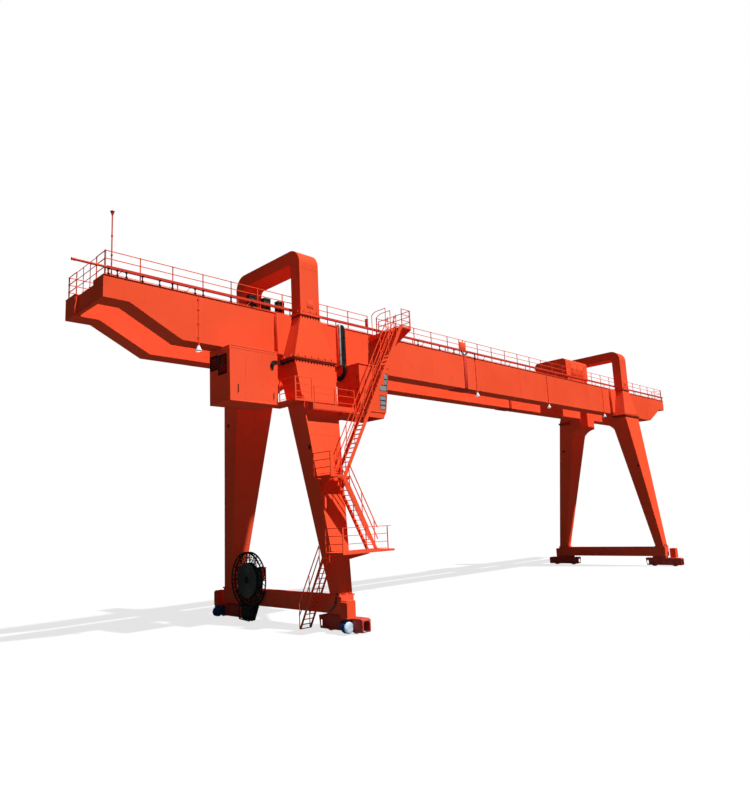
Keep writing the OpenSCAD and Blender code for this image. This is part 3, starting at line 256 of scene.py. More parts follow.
def cast_iron(name, colour):
    s = Shader(name)
    base = s.mix(s.band(s.noise(9.0, 5.0), 0.35, 0.72), rgba(colour), rgba(colour, 0.4))
    return s.set(Base_Color=base, Roughness=0.6, Metallic=0.2,
                 Normal=s.bump(s.noise(220.0, 3.0), 0.0012))


def rubber(name, colour):
    s = Shader(name)
    dust = s.band(s.noise(12.0, 4.0), 0.5, 0.8)
    base = s.mix(s.times(dust, 0.12), rgba(colour), (0.08, 0.07, 0.06, 1))
    return s.set(Base_Color=base, Specular_IOR_Level=0.1, Roughness=0.6,
                 Normal=s.bump(s.noise(300.0, 2.0), 0.0004))


def tinted_glass(name, colour):
    s = Shader(name)
    smears = s.band(s.noise(2.5, 4.0, s.stretched((2.0, 2.0, 0.7))), 0.4, 0.8)
    base = s.mix(s.times(smears, 0.35), rgba(colour), rgba([c * 1.8 + 0.02 for c in colour]))
    return s.set(Base_Color=base, Roughness=s.band(smears, 0.0, 1.0, 0.04, 0.16), Coat_Weight=1.0)


def lamp_glass(name):
    s = Shader(name)
    ribs = s.node("TexWave", {"Vector": s.place, "Scale": 18.0, "Distortion": 0.0})
    return s.set(Base_Color=(0.85, 0.87, 0.88, 1), Roughness=0.15, Coat_Weight=1.0,
                 Normal=s.bump(ribs.outputs["Fac"], 0.002))


def wire_rope(name):
    s = Shader(name)
    lay_and_groove_shade = s.node("TexWave", {"Vector": s.stretched((40.0, 40.0, 22.0)), "Scale": 1.0},
                 bands_direction="DIAGONAL")
    # Darker where the lay's bump is low: painted shade in the grooves between the strands
    base = s.mix(lay_and_groove_shade.outputs["Fac"], (0.05, 0.045, 0.04, 1), (0.30, 0.28, 0.26, 1))
    return s.set(Base_Color=base, Metallic=0.7, Roughness=0.45,
                 Normal=s.bump(lay_and_groove_shade.outputs["Fac"], 0.002))


MATERIALS = {}


def make_materials():
    c = bpy.context.scene.crane_paint
    MATERIALS.update(
        paint=painted_steel("crane_paint", c.paint),
        dark_paint=painted_steel("bogie_paint", c.dark_paint, 0.3, 1.4, 0.45),
        # Joint brown, partly painted shade at the joints
        seam=painted_steel("joint_brown_and_painted_shade", c.seam, 0.3, 0.8, 0.5),
        drive_paint=painted_steel("drive_paint", c.drive, 0.3, 0.8, 0.4),
        reel=painted_steel("reel_paint", c.reel, 0.4, 1.0, 0.42),
        black=painted_steel("black_enamel", c.black, 0.3, 0.8, 0.42),
        boxes=painted_steel("resistor_paint", c.boxes, 0.4, 1.0, 0.45),
        cowl=painted_steel("cowl_paint", c.cowl, 0.2, 0.6, 0.38),
        walkway=chequered_plate("chequered_plate", c.tread),
        lamp_set=two_part_paint("lamp_paint", LAMP_WHITE, c.paint, LAMP_TOP_Z),
        drive_set=two_part_paint("drive_and_housing", c.drive, c.paint, BOGIE_TOP_Z),
        lens=lamp_glass("lamp_lens"),
        steel=worn_steel("worn_steel", c.steel),
        cast=cast_iron("cast_iron", IRON_GREY),
        rubber=rubber("black_rubber", c.rubber),
        glass=tinted_glass("window_glass", c.glass),
        rope=wire_rope("wire_rope"),
    )


def give(obj, key):
    obj.data.materials.clear()
    obj.data.materials.append(MATERIALS[key])


# The frame's own nodes

# Finishes of these nodes; every other node wears the crane's paint
NODE_FINISH = {
    "steel": ["trolley_rails"],
    "dark_paint": ["left_near_bogie", "left_far_bogie", "right_near_bogie", "right_far_bogie", "mast"],
    "cast": [f"{side}_{row}_{place}_wheel" for side in ("left", "right")
             for row in ("near", "far") for place in ("outer", "inner")]
            + [f"trolley_{side}_{row}_wheel" for side in ("left", "right")
               for row in ("near", "far")],
    "glass": ["cab_windows"],
    "reel": ["cable_reel", "reel_stand"],
    "lamp_set": ["floodlights"],
    "drive_set": ["travel_drives"],
    "boxes": ["resistor_boxes"],
    "rope": ["hoist_ropes"],
}


class CRANE_OT_finishes(Operator):
    """Make the finishes and give one to each node of the frame"""
    bl_idname = "crane.finishes"
    bl_label = "Finishes"

    def execute(self, context):
        make_materials()
        finish = {node: key for key, nodes in NODE_FINISH.items() for node in nodes}
        for name, obj in NODES.items():
            give(obj, finish.get(name, "paint"))
        return {"FINISHED"}


# The frame's sizes that the fittings are set against, in metres

LEG_FRAMES = (-8.75, 8.75)
SIDES = (-1, 1)
# Directions: along the girders, across them and upwards
ALONG, ACROSS, UP = (1, 0, 0), (0, 1, 0), (0, 0, 1)
# Each leg, as its frame's X and the side it stands on
LEGS = [(x, s) for x in LEG_FRAMES for s in SIDES]
GIRDER_TOP, GIRDER_FOOT = 7.45, 6.37
GIRDER_IN, GIRDER_OUT = 0.50, 1.00
FOOT_Z, HEAD_Z = 0.80, 6.25
SILL_TOP = 0.768
SADDLE_HALF, SADDLE_OUT, SADDLE_IN, SADDLE_TOP = 0.298, 1.391, 1.045, 9.126
PLATE = 0.032
LIP = 0.036
SINK = 0.003
# Sizes of a leg at its foot and at its head: half width, outer face and inner face
LEG_HALF = (0.185, 0.625)
LEG_OUTER = (2.317, 1.524)
LEG_INNER = (1.987, 0.860)


def leg_size(ends, z):
    """A size of a leg at height z, from the size at its foot and at its top joint."""
    return ends[0] + (ends[1] - ends[0]) * (z - FOOT_Z) / (HEAD_Z - FOOT_Z)


def leg_side(z):
    """Half the width of a leg along the girders."""
    return leg_size(LEG_HALF, z)


def leg_outer(z):
    """Distance of a leg's outer face from the crane's middle."""
    return leg_size(LEG_OUTER, z)


def leg_inner(z):
    """Distance of a leg's inner face from the crane's middle."""
    return leg_size(LEG_INNER, z)


# Making a mesh

class Shape:
    """A mesh in the making; each call adds one shape in its place, in metres."""

    def __init__(self):
        self.bm = bmesh.new()

    def block(self, low, high, bevel=0.0, segments=1):
        """A box from corner to corner with bevelled edges."""
        low, high = Vector(low), Vector(high)
        place = Matrix.Translation((low + high) / 2) @ Matrix.Diagonal((*(high - low), 1))
        self.cube(place, bevel, segments)

    def strip(self, a, b, wide, thick, across, bevel=0.0):
        """A flat bar from a to b; across is the direction of its width."""
        a, b, across = Vector(a), Vector(b), Vector(across)
        along = (b - a).normalized()
        across = (across - along * across.dot(along)).normalized()
        turn = Matrix((across, along.cross(across), along)).transposed().to_4x4()
        place = Matrix.Translation((a + b) / 2) @ turn @ Matrix.Diagonal((wide, thick, (b - a).length, 1))
        self.cube(place, bevel)

    def cube(self, place, bevel, segments=1):
        """A unit cube set in its place by a matrix, with bevelled edges."""
        verts = bmesh.ops.create_cube(self.bm, size=1.0, matrix=place)["verts"]
        if bevel > 0:
            edges = list({edge for vert in verts for edge in vert.link_edges})
            bmesh.ops.bevel(self.bm, geom=edges, offset=bevel, offset_type="OFFSET", segments=segments,
                            profile=0.5, affect="EDGES", material=-1, clamp_overlap=True)

    def rod(self, a, b, radius, sides=8, end_radius=None):
        """A round bar, or a cone with another radius at b; six sides make a nut."""
        a, b = Vector(a), Vector(b)
        turn = (b - a).to_track_quat("Z", "Y").to_matrix().to_4x4()
        bmesh.ops.create_cone(self.bm, cap_ends=True, cap_tris=False, segments=sides, radius1=radius,
                              radius2=radius if end_radius is None else end_radius,
                              depth=(b - a).length, matrix=Matrix.Translation((a + b) / 2) @ turn)

    def plate(self, outline, through):
        """A flat outline pushed through by a vector."""
        face = self.bm.faces.new([self.bm.verts.new(point) for point in outline])
        pushed = bmesh.ops.extrude_face_region(self.bm, geom=[face])["geom"]
        bmesh.ops.translate(self.bm, vec=Vector(through),
                            verts=[item for item in pushed if isinstance(item, bmesh.types.BMVert)])

    def turned(self, centre, axis, profile, steps=24):
        """A turned shape; its profile is pairs of distance along the axis and radius."""
        centre, axis = Vector(centre), Vector(axis).normalized()
        side = axis.orthogonal().normalized()
        part = bmesh.new()
        verts = [part.verts.new(centre + axis * along + side * radius) for along, radius in profile]
        edges = [part.edges.new(pair) for pair in zip(verts, verts[1:])]
        bmesh.ops.spin(part, geom=verts + edges, cent=centre, axis=axis, dvec=(0, 0, 0),
                       angle=math.tau, steps=steps, use_merge=True, use_duplicate=False)
        bmesh.ops.remove_doubles(part, verts=part.verts, dist=1e-5)
        self.join(part)

    def join(self, part):
        """Take in a shape that was made apart."""
        mesh = bpy.data.meshes.new("part")
        part.to_mesh(mesh)
        part.free()
        self.bm.from_mesh(mesh)
        bpy.data.meshes.remove(mesh)

    def torus(self, centre, axis, radius, thick, steps=32, sides=6):
        """A round ring about an axis."""
        turns = [math.tau * i / sides for i in range(sides)]
        profile = [(thick * math.sin(t), radius + thick * math.cos(t)) for t in turns]
        self.turned(centre, axis, profile + profile[:1], steps)

    def bolt_circle(self, centre, axis, radius, count, head, back=0.0):
        """Bolt heads round a centre, on an axis along X; head is their radius and height."""
        for i in range(count):
            turn = math.tau * (i + 0.5) / count
            place = centre + Vector((0, radius * math.cos(turn), radius * math.sin(turn)))
            self.rod(place - axis * back, place + axis * head[1], head[0], 6)

    def hose(self, points, radius, sides=6):
        """A hose through the points, bent smoothly between them."""
        points = smooth_route([Vector(point) for point in points])
        part = bmesh.new()
        end = bmesh.ops.create_circle(part, cap_ends=True, segments=sides, radius=radius)["verts"][0]
        face = end.link_faces[0]
        place, aim = Vector((0, 0, 0)), Vector(UP)
        tangents = [(b - a).normalized() for a, b in zip(points, points[1:])]
        tangents.append(tangents[-1])
        for i, point in enumerate(points):
            if i:
                face = bmesh.ops.extrude_discrete_faces(part, faces=[face])["faces"][0]
            middle = (tangents[max(i - 1, 0)] + tangents[i]).normalized()
            turn = aim.rotation_difference(middle).to_matrix()
            bmesh.ops.rotate(part, verts=face.verts, cent=place, matrix=turn)
            bmesh.ops.translate(part, verts=face.verts, vec=point - place)
            place, aim = point, middle
        bmesh.ops.holes_fill(part, edges=part.edges)
        self.join(part)

    def done(self, name, key, body="crane"):
        """The finished piece, with its finish, riding on its body unless that is None."""
        bmesh.ops.recalc_face_normals(self.bm, faces=self.bm.faces)
        mesh = bpy.data.meshes.new(name)
        self.bm.to_mesh(mesh)
        self.bm.free()
        mesh.polygons.foreach_set("use_smooth", [True] * len(mesh.polygons))
        mesh.set_sharp_from_angle(angle=math.radians(46))
        piece = bpy.data.objects.new(name, mesh)
        bpy.context.collection.objects.link(piece)
        give(piece, key)
        if body:
            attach(piece, body)
        return piece


def smooth_route(points, steps=5):
    """More points along a smooth curve through the given ones."""
    ends = [points[0] * 2 - points[1], *points, points[-1] * 2 - points[-2]]
    route = []
    for a, b, c, d in zip(ends, ends[1:], ends[2:], ends[3:]):
        for i in range(steps):
            t = i / steps
            route.append(b * 2 + (c - a) * t + (a * 2 - b * 5 + c * 4 - d) * t * t
                         + (b * 3 - a - c * 3 + d) * t * t * t)
    return [point / 2 for point in route] + [points[-1]]


# Bolted joints

BOLT_PITCH = 0.088
NUT_R, NUT_H = 0.018, 0.026
SHANK_R, SHANK_END = 0.012, 0.058
HEAD_R, HEAD_H = 0.016, 0.016
GUSSET_PITCH = 0.215
GUSSET_H, GUSSET_T, GUSSET_FOOT_H, GUSSET_TIP = 0.080, 0.008, 0.030, 0.014
# How far a leg head leans inwards, outwards face and side face, for each metre of its height
LEAN_OUT, LEAN_SIDE = -0.133 / 1.116, -0.327 / 1.116
SILL_LEAN = 0.12
# Packing strips: their width, thickness, the direction of the width and their bevel
PACKING = (0.044, 0.012, UP, 0.002)


def joint_edge(plates, bolts, a, b, outward, low, high, lean, gussets=True):
    """One edge of a bolted joint: a row of bolts through its lip, with gussets over it."""
    a, b, outward = Vector(a), Vector(b), Vector(outward)
    up = Vector(UP)
    along = (b - a).normalized()
    length = (b - a).length
    count = max(2, round(length / BOLT_PITCH))
    for i in range(count):
        place = a + along * length * (i + 0.5) / count + outward * LIP * 0.55
        bolts.rod(place + up * (low - NUT_H), place + up * low, NUT_R, 6)
        bolts.rod(place + up * (low - SHANK_END), place + up * (low - NUT_H), SHANK_R, 6)
        bolts.rod(place + up * high, place + up * (high + HEAD_H), HEAD_R, 6)
    if gussets:
        count = max(2, round(length / GUSSET_PITCH))
        for i in range(count):
            foot = a + along * (length * (i + 0.5) / count - GUSSET_T / 2) + up * high
            edge = foot + outward * (LIP - 0.006)
            head = foot + outward * lean * GUSSET_H + up * GUSSET_H
            plates.plate([foot - outward * SINK, edge, edge + up * GUSSET_FOOT_H,
                          head + outward * GUSSET_TIP, head - outward * SINK], along * GUSSET_T)


def leg_joints(plates, bolts, x, s):
    """The three bolted joints of one leg."""
    side, out = leg_side(HEAD_Z), leg_outer(HEAD_Z)
    low, high = HEAD_Z - PLATE, HEAD_Z + PLATE
    joint_edge(plates, bolts, (x - side, s * out, 0), (x + side, s * out, 0), (0, s, 0), low, high, LEAN_OUT)
    for e in SIDES:
        joint_edge(plates, bolts, (x + e * side, s * GIRDER_OUT, 0), (x + e * side, s * out, 0),
                   (e, 0, 0), low, high, LEAN_SIDE)
    side, out = SADDLE_HALF, SADDLE_OUT
    low, high = GIRDER_TOP - 0.052, GIRDER_TOP + 0.012
    joint_edge(plates, bolts, (x - side, s * out, 0), (x + side, s * out, 0), (0, s, 0), low, high, 0)
    for e in SIDES:
        joint_edge(plates, bolts, (x + e * side, s * SADDLE_IN, 0), (x + e * side, s * out, 0),
                   (e, 0, 0), low, high, 0)
    side, low, high = leg_side(FOOT_Z), SILL_TOP + 0.03, FOOT_Z
    for y, way in ((leg_outer(FOOT_Z), s), (leg_inner(FOOT_Z), -s)):
        joint_edge(plates, bolts, (x - side, s * y, 0), (x + side, s * y, 0), (0, way, 0),
                   low, high, -way * s * SILL_LEAN, gussets=way == s)


class CRANE_OT_joints(Operator):
    """Bolts and gussets of the joints between legs, saddles and sill beams"""
    bl_idname = "crane.joints"
    bl_label = "Bolted joints"

    def execute(self, context):
        plates, bolts = Shape(), Shape()
        for x, s in LEGS:
            leg_joints(plates, bolts, x, s)
        plates.done("joint_gussets", "paint")
        # The bolts wear the dark joint brown, partly painted shade of the flange lip over them
        bolts.done("joint_bolts", "seam")
        # Packing strips: a dark brown line round each head joint, partly rust of the bare flange edges and
        # partly painted shade between the flanges
        packing = Shape()
        inset = PACKING[1] / 2
        out = leg_outer(HEAD_Z) + LIP + SINK
        side = leg_side(HEAD_Z) + LIP + SINK
        z = HEAD_Z - inset
        for x, s in LEGS:
            for e in SIDES:
                place = x + e * (side - inset)
                packing.strip((place, s * GIRDER_OUT, z), (place, s * out, z), *PACKING)
            packing.strip((x - side, s * (out - inset), z), (x + side, s * (out - inset), z), *PACKING)
        packing.done("joint_packing_and_painted_shade", "seam")
        return {"FINISHED"}


# Plating of the girders and legs

BEAD_W, BEAD = 0.012, 0.0025
GIRDER_SEAMS = (-11.7, -9.9, -6.1, -3.7, -1.3, 1.1, 3.5, 6.1, 9.9, 11.7)
LEG_SEAMS = (1.9, 3.15, 4.4, 5.55)
# Cable ports in the legs: the side, the distance from the middle and the height
LEG_PORTS = ((-1, 1.772, 4.100), (1, 1.500, 5.024))
PORT_PROFILE = [(0, 0), (0, 0.052), (0.010, 0.052), (0.014, 0.043), (0.014, 0.030), (0.008, 0.026),
                (0.008, 0)]
# Cover plates beside the leg heads: their heights, near face and thickness
COVER_FOOT, COVER_HEAD, COVER_Y, COVER_DEPTH = 6.400, 7.405, 1.035, 0.060


def leg_seam(shape, x, s, z):
    """A weld bead round a leg at height z, on its two sides and its outer face."""
    side, out, inner = leg_side(z), s * leg_outer(z), s * leg_inner(z)
    for e in SIDES:
        shape.strip((x + e * side, inner, z), (x + e * side, out, z), BEAD_W, BEAD * 2, UP)
    for y in (out, inner):
        shape.strip((x - side, y, z), (x + side, y, z), BEAD_W, BEAD * 2, UP)


class CRANE_OT_plating(Operator):
    """Weld beads on the girders and legs, and the cover plates beside the leg heads"""
    bl_idname = "crane.plating"
    bl_label = "Plating"

    def execute(self, context):
        beads = Shape()
        for x in GIRDER_SEAMS:
            for y in (GIRDER_IN, GIRDER_OUT):
                for s in SIDES:
                    beads.strip((x, s * y, GIRDER_FOOT), (x, s * y, GIRDER_TOP - 0.012),
                                BEAD_W, BEAD * 2, ALONG)
        for x, s in LEGS:
            for z in LEG_SEAMS:
                leg_seam(beads, x, s, z)
        beads.done("weld_beads", "paint")
        ports = Shape()
        for x in LEG_FRAMES:
            for s, y, z in LEG_PORTS:
                ports.turned((x - leg_side(z) + 0.004, s * y, z), (-1, 0, -0.08), PORT_PROFILE, 20)
        # The ports are dark joint brown, partly painted shade of their holes
        ports.done("leg_cable_ports", "seam")
        covers = Shape()
        for x, s in LEGS:
            for e in SIDES:
                covers.plate([(x + e * dx, s * COVER_Y, z) for dx, z in
                              ((0.780, COVER_FOOT), (0.780, COVER_HEAD), (0.300, COVER_HEAD),
                               (0.620, COVER_FOOT))], (0, s * COVER_DEPTH, 0))
                covers.strip((x + e * 0.790, s * GIRDER_OUT, COVER_FOOT - 0.005),
                             (x + e * 0.790, s * GIRDER_OUT, COVER_HEAD + 0.005),
                             0.024, 0.20, ALONG, 0.004)
        covers.done("web_covers", "paint")
        return {"FINISHED"}


# Splices of the girders

NEAR_SPLICE_X, FAR_SPLICE_X = -2.060, 2.650
SPLICE_W = 0.140
COVER_T = 0.024
SPLICE_BOLT_ROWS, SPLICE_BOLT_PITCH = 11, 0.095
PANEL_FOOT, PANEL_HEAD, PANEL_BACK, PANEL_FACE = 7.620, 7.890, -0.945, -0.990
LOOP_R, TAIL_R = 0.020, 0.016


class CRANE_OT_splices(Operator):
    """Cover plates of the girders' field splices, and the panel and cable loops over the near one"""
    bl_idname = "crane.splices"
    bl_label = "Girder splices"

    def execute(self, context):
        covers, bolts = Shape(), Shape()
        for x, s in ((NEAR_SPLICE_X, -1), (FAR_SPLICE_X, 1)):
            for y, way in ((s * GIRDER_OUT, s), (s * GIRDER_IN, -s)):
                low, high = sorted((y, y + way * COVER_T))
                covers.block((x - SPLICE_W / 2, low, GIRDER_FOOT + 0.010),
                             (x + SPLICE_W / 2, high, GIRDER_TOP - 0.020), 0.003)
                for i in range(SPLICE_BOLT_ROWS):
                    for dx in (-0.045, 0.045):
                        place = Vector((x + dx, y + way * COVER_T,
                                        GIRDER_FOOT + 0.060 + SPLICE_BOLT_PITCH * i))
                        bolts.rod(place, place + Vector((0, way * 0.007, 0)), 0.009, 6)
            low, high = sorted((s * (GIRDER_IN + 0.03), s * (GIRDER_OUT - 0.03)))
            covers.block((x - 0.34, low, GIRDER_FOOT - COVER_T), (x + 0.34, high, GIRDER_FOOT + 0.001), 0.004)
        covers.done("splice_covers", "dark_paint")
        bolts.done("splice_bolts", "seam")
        panel = Shape()
        low, high = NEAR_SPLICE_X - 0.190, NEAR_SPLICE_X + 0.120
        panel.block((low, PANEL_FACE, PANEL_FOOT), (high, PANEL_BACK, PANEL_HEAD), 0.006, 2)
        panel.block((low + 0.02, PANEL_FACE - 0.006, PANEL_FOOT + 0.02),
                    (high - 0.02, PANEL_FACE + 0.001, PANEL_HEAD - 0.02), 0.003)
        for x in (low - 0.012, high + 0.012):
            panel.rod((x, -0.965, GIRDER_TOP), (x, -0.965, 7.965), 0.012)
        panel.done("girder_panel", "paint")
        loops = Shape()
        loops.hose([(low - 0.03, -1.030, 7.590), (low + 0.02, -1.030, 7.530), (low + 0.10, -1.025, 7.480),
                    (high - 0.10, -1.025, 7.480), (high - 0.02, -1.030, 7.530), (high + 0.03, -1.030, 7.590)],
                   LOOP_R, 8)
        loops.hose([(-1.780, -1.030, 7.570), (-1.640, -1.036, 7.568), (-1.560, -1.040, 7.530),
                    (-1.530, -1.030, 7.450), (-1.528, -1.020, 7.380)], TAIL_R, 8)
        loops.done("panel_cables", "rubber")
        return {"FINISHED"}


# Electrical room

ROOM_LOW = Vector((-11.025, -1.330, 5.108))
ROOM_HIGH = Vector((-9.740, -0.500, 6.348))
# Grab handles on the near wall: their X, and the heights of their ends
ROOM_HANDLES, HANDLE_Y = ((-10.823, 5.295, 5.475), (-9.866, 5.231, 5.371)), -1.352
# Each vent's near lower corner and far upper corner, as Y and Z over the room's corner
ROOM_VENTS = (((0.156, 0.645), (0.437, 1.044)), ((0.525, 0.790), (0.775, 1.074)))


def louvre(shape, x, low, high, slats=9):
    """A framed louvre on a wall that faces -X."""
    for y in (low[0] - 0.012, high[0] + 0.012):
        shape.block((x - 0.014, y - 0.014, low[1] - 0.026), (x + 0.004, y + 0.014, high[1] + 0.026), 0.003)
    for z in (low[1] - 0.012, high[1] + 0.012):
        shape.block((x - 0.014, low[0] - 0.026, z - 0.014), (x + 0.004, high[0] + 0.026, z + 0.014), 0.003)
    for i in range(slats):
        z = low[1] + (high[1] - low[1]) * (i + 0.5) / slats
        rise = (high[1] - low[1]) / slats * 0.40
        shape.strip((x - 0.002, low[0], z), (x - 0.002, high[0], z), rise * 2.4, 0.003, (-0.6, 0, -1))


class CRANE_OT_room(Operator):
    """Louvres, edge angles, seam, handles and door fittings of the electrical room"""
    bl_idname = "crane.room"
    bl_label = "Electrical room"

    def execute(self, context):
        vents, trim, metal = Shape(), Shape(), Shape()
        for low, high in ROOM_VENTS:
            louvre(vents, ROOM_LOW.x, (ROOM_LOW.y + low[0], ROOM_LOW.z + low[1]),
                   (ROOM_LOW.y + high[0], ROOM_LOW.z + high[1]))
        vents.done("room_louvres", "black")
        seam_z = ROOM_HIGH.z - 0.060
        trim.strip((ROOM_LOW.x, ROOM_LOW.y, seam_z), (ROOM_HIGH.x, ROOM_LOW.y, seam_z),
                   0.010, 0.010, UP, 0.002)
        for x in (ROOM_LOW.x, ROOM_HIGH.x):
            for y in (ROOM_LOW.y, ROOM_HIGH.y):
                trim.block((x - 0.003, y - 0.003, ROOM_LOW.z - 0.003),
                           (x + 0.003, y + 0.003, ROOM_HIGH.z), 0.001)
        for z in (ROOM_LOW.z, ROOM_HIGH.z):
            for y in (ROOM_LOW.y, ROOM_HIGH.y):
                trim.strip((ROOM_LOW.x, y, z), (ROOM_HIGH.x, y, z), 0.030, 0.008, UP, 0.002)
        for x in (-10.62, -10.18):
            trim.strip((x, ROOM_LOW.y, ROOM_LOW.z), (x, ROOM_LOW.y, seam_z), 0.006, 0.005, ALONG)
        for x in (ROOM_LOW.x, ROOM_HIGH.x):
            trim.strip((x, ROOM_LOW.y, seam_z), (x, ROOM_HIGH.y, seam_z), 0.010, 0.010, UP, 0.002)
        trim.done("room_trim", "paint")
        for x, low, high in ROOM_HANDLES:
            metal.rod((x, HANDLE_Y, low), (x, HANDLE_Y, high), 0.007)
            for z in (low + 0.012, high - 0.012):
                metal.rod((x, ROOM_LOW.y + 0.001, z), (x, HANDLE_Y, z), 0.006)
        door_y = ROOM_LOW.y + 0.060
        for z in HINGE_HEIGHTS:
            metal.rod((ROOM_HIGH.x + 0.004, door_y - 0.004, ROOM_LOW.z + z),
                      (ROOM_HIGH.x + 0.004, door_y - 0.004, ROOM_LOW.z + z + HINGE_LENGTH), 0.009)
        grip = ((-0.006, 0.50), (0.022, 0.51), (0.022, 0.61), (-0.006, 0.62))
        metal.hose([(ROOM_HIGH.x + x, door_y + 0.30, ROOM_LOW.z + z) for x, z in grip], 0.006)
        metal.done("room_handles", "black")
        return {"FINISHED"}


# Operator's cab

CAB_BACK, CAB_FRONT = -7.460, -6.397
CAB_NEAR, CAB_FAR = -1.700, -0.850
CAB_Z, CAB_TOP = 5.119, 6.348
CAB_SLOPE_X, CAB_SLOPE_Z = 0.144, 1.020
CAB_POST = 0.058
GUTTER = (0.036, 0.020, UP, 0.004)
WIPER_Y, WIPER_HEIGHTS = -1.300, (0.915, 0.590)
# Heights of a door's three hinges over its sill, and their length
HINGE_HEIGHTS, HINGE_LENGTH = (0.20, 0.52, 0.84), 0.06
WINDOW_BANDS = ((0.080, 0.192), (0.204, 0.316), (0.328, 0.447),
                (0.581, 0.731), (0.743, 0.893), (0.905, 1.052))


def cab_front(z):
    """The cab's front at height z over its floor line."""
    return CAB_FRONT - CAB_SLOPE_X * max(0.0, 1 - z / CAB_SLOPE_Z)


def side_gasket(shape, y, low, high):
    """The gasket round a side pane."""
    back = CAB_FRONT - (0.165 if low > 0.6 else 0.348)
    corners = [(back, low), (cab_front(low) - 0.030, low), (cab_front(high) - 0.030, high), (back, high)]
    points = [Vector((x, y, CAB_Z + z)) for x, z in corners]
    for a, b in zip(points, points[1:] + points[:1]):
        shape.strip(a, b, 0.008, 0.010, UP if abs(a.z - b.z) < 0.01 else ALONG)


class CRANE_OT_cab(Operator):
    """Window gaskets, wipers, gutter, corner trim and door fittings of the operator's cab"""
    bl_idname = "crane.cab"
    bl_label = "Operator's cab"

    def execute(self, context):
        seals, trim, metal = Shape(), Shape(), Shape()
        for low, high in WINDOW_BANDS:
            for y in (CAB_NEAR, CAB_FAR):
                side_gasket(seals, y, low, high)
            for z in (low, high):
                x = cab_front(z) + 0.001
                seals.strip((x, CAB_NEAR + CAB_POST, CAB_Z + z), (x, CAB_FAR - CAB_POST, CAB_Z + z),
                            0.010, 0.008, UP)
            for y in (CAB_NEAR + CAB_POST, CAB_FAR - CAB_POST):
                seals.strip((cab_front(low) + 0.001, y, CAB_Z + low),
                            (cab_front(high) + 0.001, y, CAB_Z + high), 0.010, 0.008, ACROSS)
        seals.done("cab_gaskets", "rubber")
        for y, way in ((CAB_NEAR, -1), (CAB_FAR, 1)):
            trim.strip((CAB_BACK - 0.012, y + way * 0.010, CAB_TOP - 0.020),
                       (CAB_FRONT + 0.020, y + way * 0.010, CAB_TOP - 0.020), *GUTTER)
        for x in (CAB_BACK - 0.010, CAB_FRONT + 0.014):
            trim.strip((x, CAB_NEAR, CAB_TOP - 0.020), (x, CAB_FAR, CAB_TOP - 0.020), *GUTTER)
        for y in (CAB_NEAR, CAB_FAR):
            trim.block((CAB_BACK - 0.003, y - 0.003, CAB_Z), (CAB_BACK + 0.003, y + 0.003, CAB_TOP), 0.001)
        for y in (CAB_NEAR + 0.010, CAB_FAR - 0.010):
            trim.strip((CAB_BACK + 0.02, y, CAB_Z + 0.002), (cab_front(0) - 0.01, y, CAB_Z + 0.002),
                       0.020, 0.030, UP, 0.003)
        trim.strip((-7.02, CAB_NEAR, CAB_Z + 0.03), (-7.02, CAB_NEAR, CAB_TOP - 0.04),
                   0.006, 0.005, ALONG)
        trim.done("cab_trim", "paint")
        for z in WIPER_HEIGHTS:
            foot, tip = cab_front(z - 0.02) + 0.012, cab_front(z + 0.13) + 0.014
            metal.rod((foot, WIPER_Y, CAB_Z + z - 0.02), (tip, WIPER_Y + 0.05, CAB_Z + z + 0.13), 0.004)
            metal.block((foot - 0.014, WIPER_Y - 0.020, CAB_Z + z - 0.035),
                        (foot + 0.008, WIPER_Y + 0.020, CAB_Z + z - 0.010), 0.004)
        door = CAB_NEAR + 0.090
        for z in HINGE_HEIGHTS:
            metal.rod((CAB_BACK - 0.004, door - 0.004, CAB_Z + z),
                      (CAB_BACK - 0.004, door - 0.004, CAB_Z + z + HINGE_LENGTH), 0.009)
        grip = ((0.008, 0.48), (-0.026, 0.49), (-0.026, 0.60), (0.008, 0.61))
        metal.hose([(CAB_BACK + x, door + 0.30, CAB_Z + z) for x, z in grip], 0.006)
        metal.done("cab_fittings", "black")
        return {"FINISHED"}


# Cables clipped to the structure

TRAY_LEFT, TRAY_RIGHT, TRAY_FOOT, TRAY_TOP = -7.560, -7.300, 6.385, 7.425
TRAY_RUNGS, TRAY_CLIPS = (6.50, 6.78, 7.06, 7.34), (6.56, 6.86, 7.16)
CONDUIT_X, CONDUIT_Y, CONDUIT_R = -7.490, -1.056, 0.034
CAB_CABLES, CAB_CABLE_R = (-7.414, -7.350), 0.031
ROOM_CABLES, ROOM_CABLE_R, LEG_CABLE_R = 2, 0.014, 0.013
LEG_CLIPS = (-1.46, -1.28, -1.10)


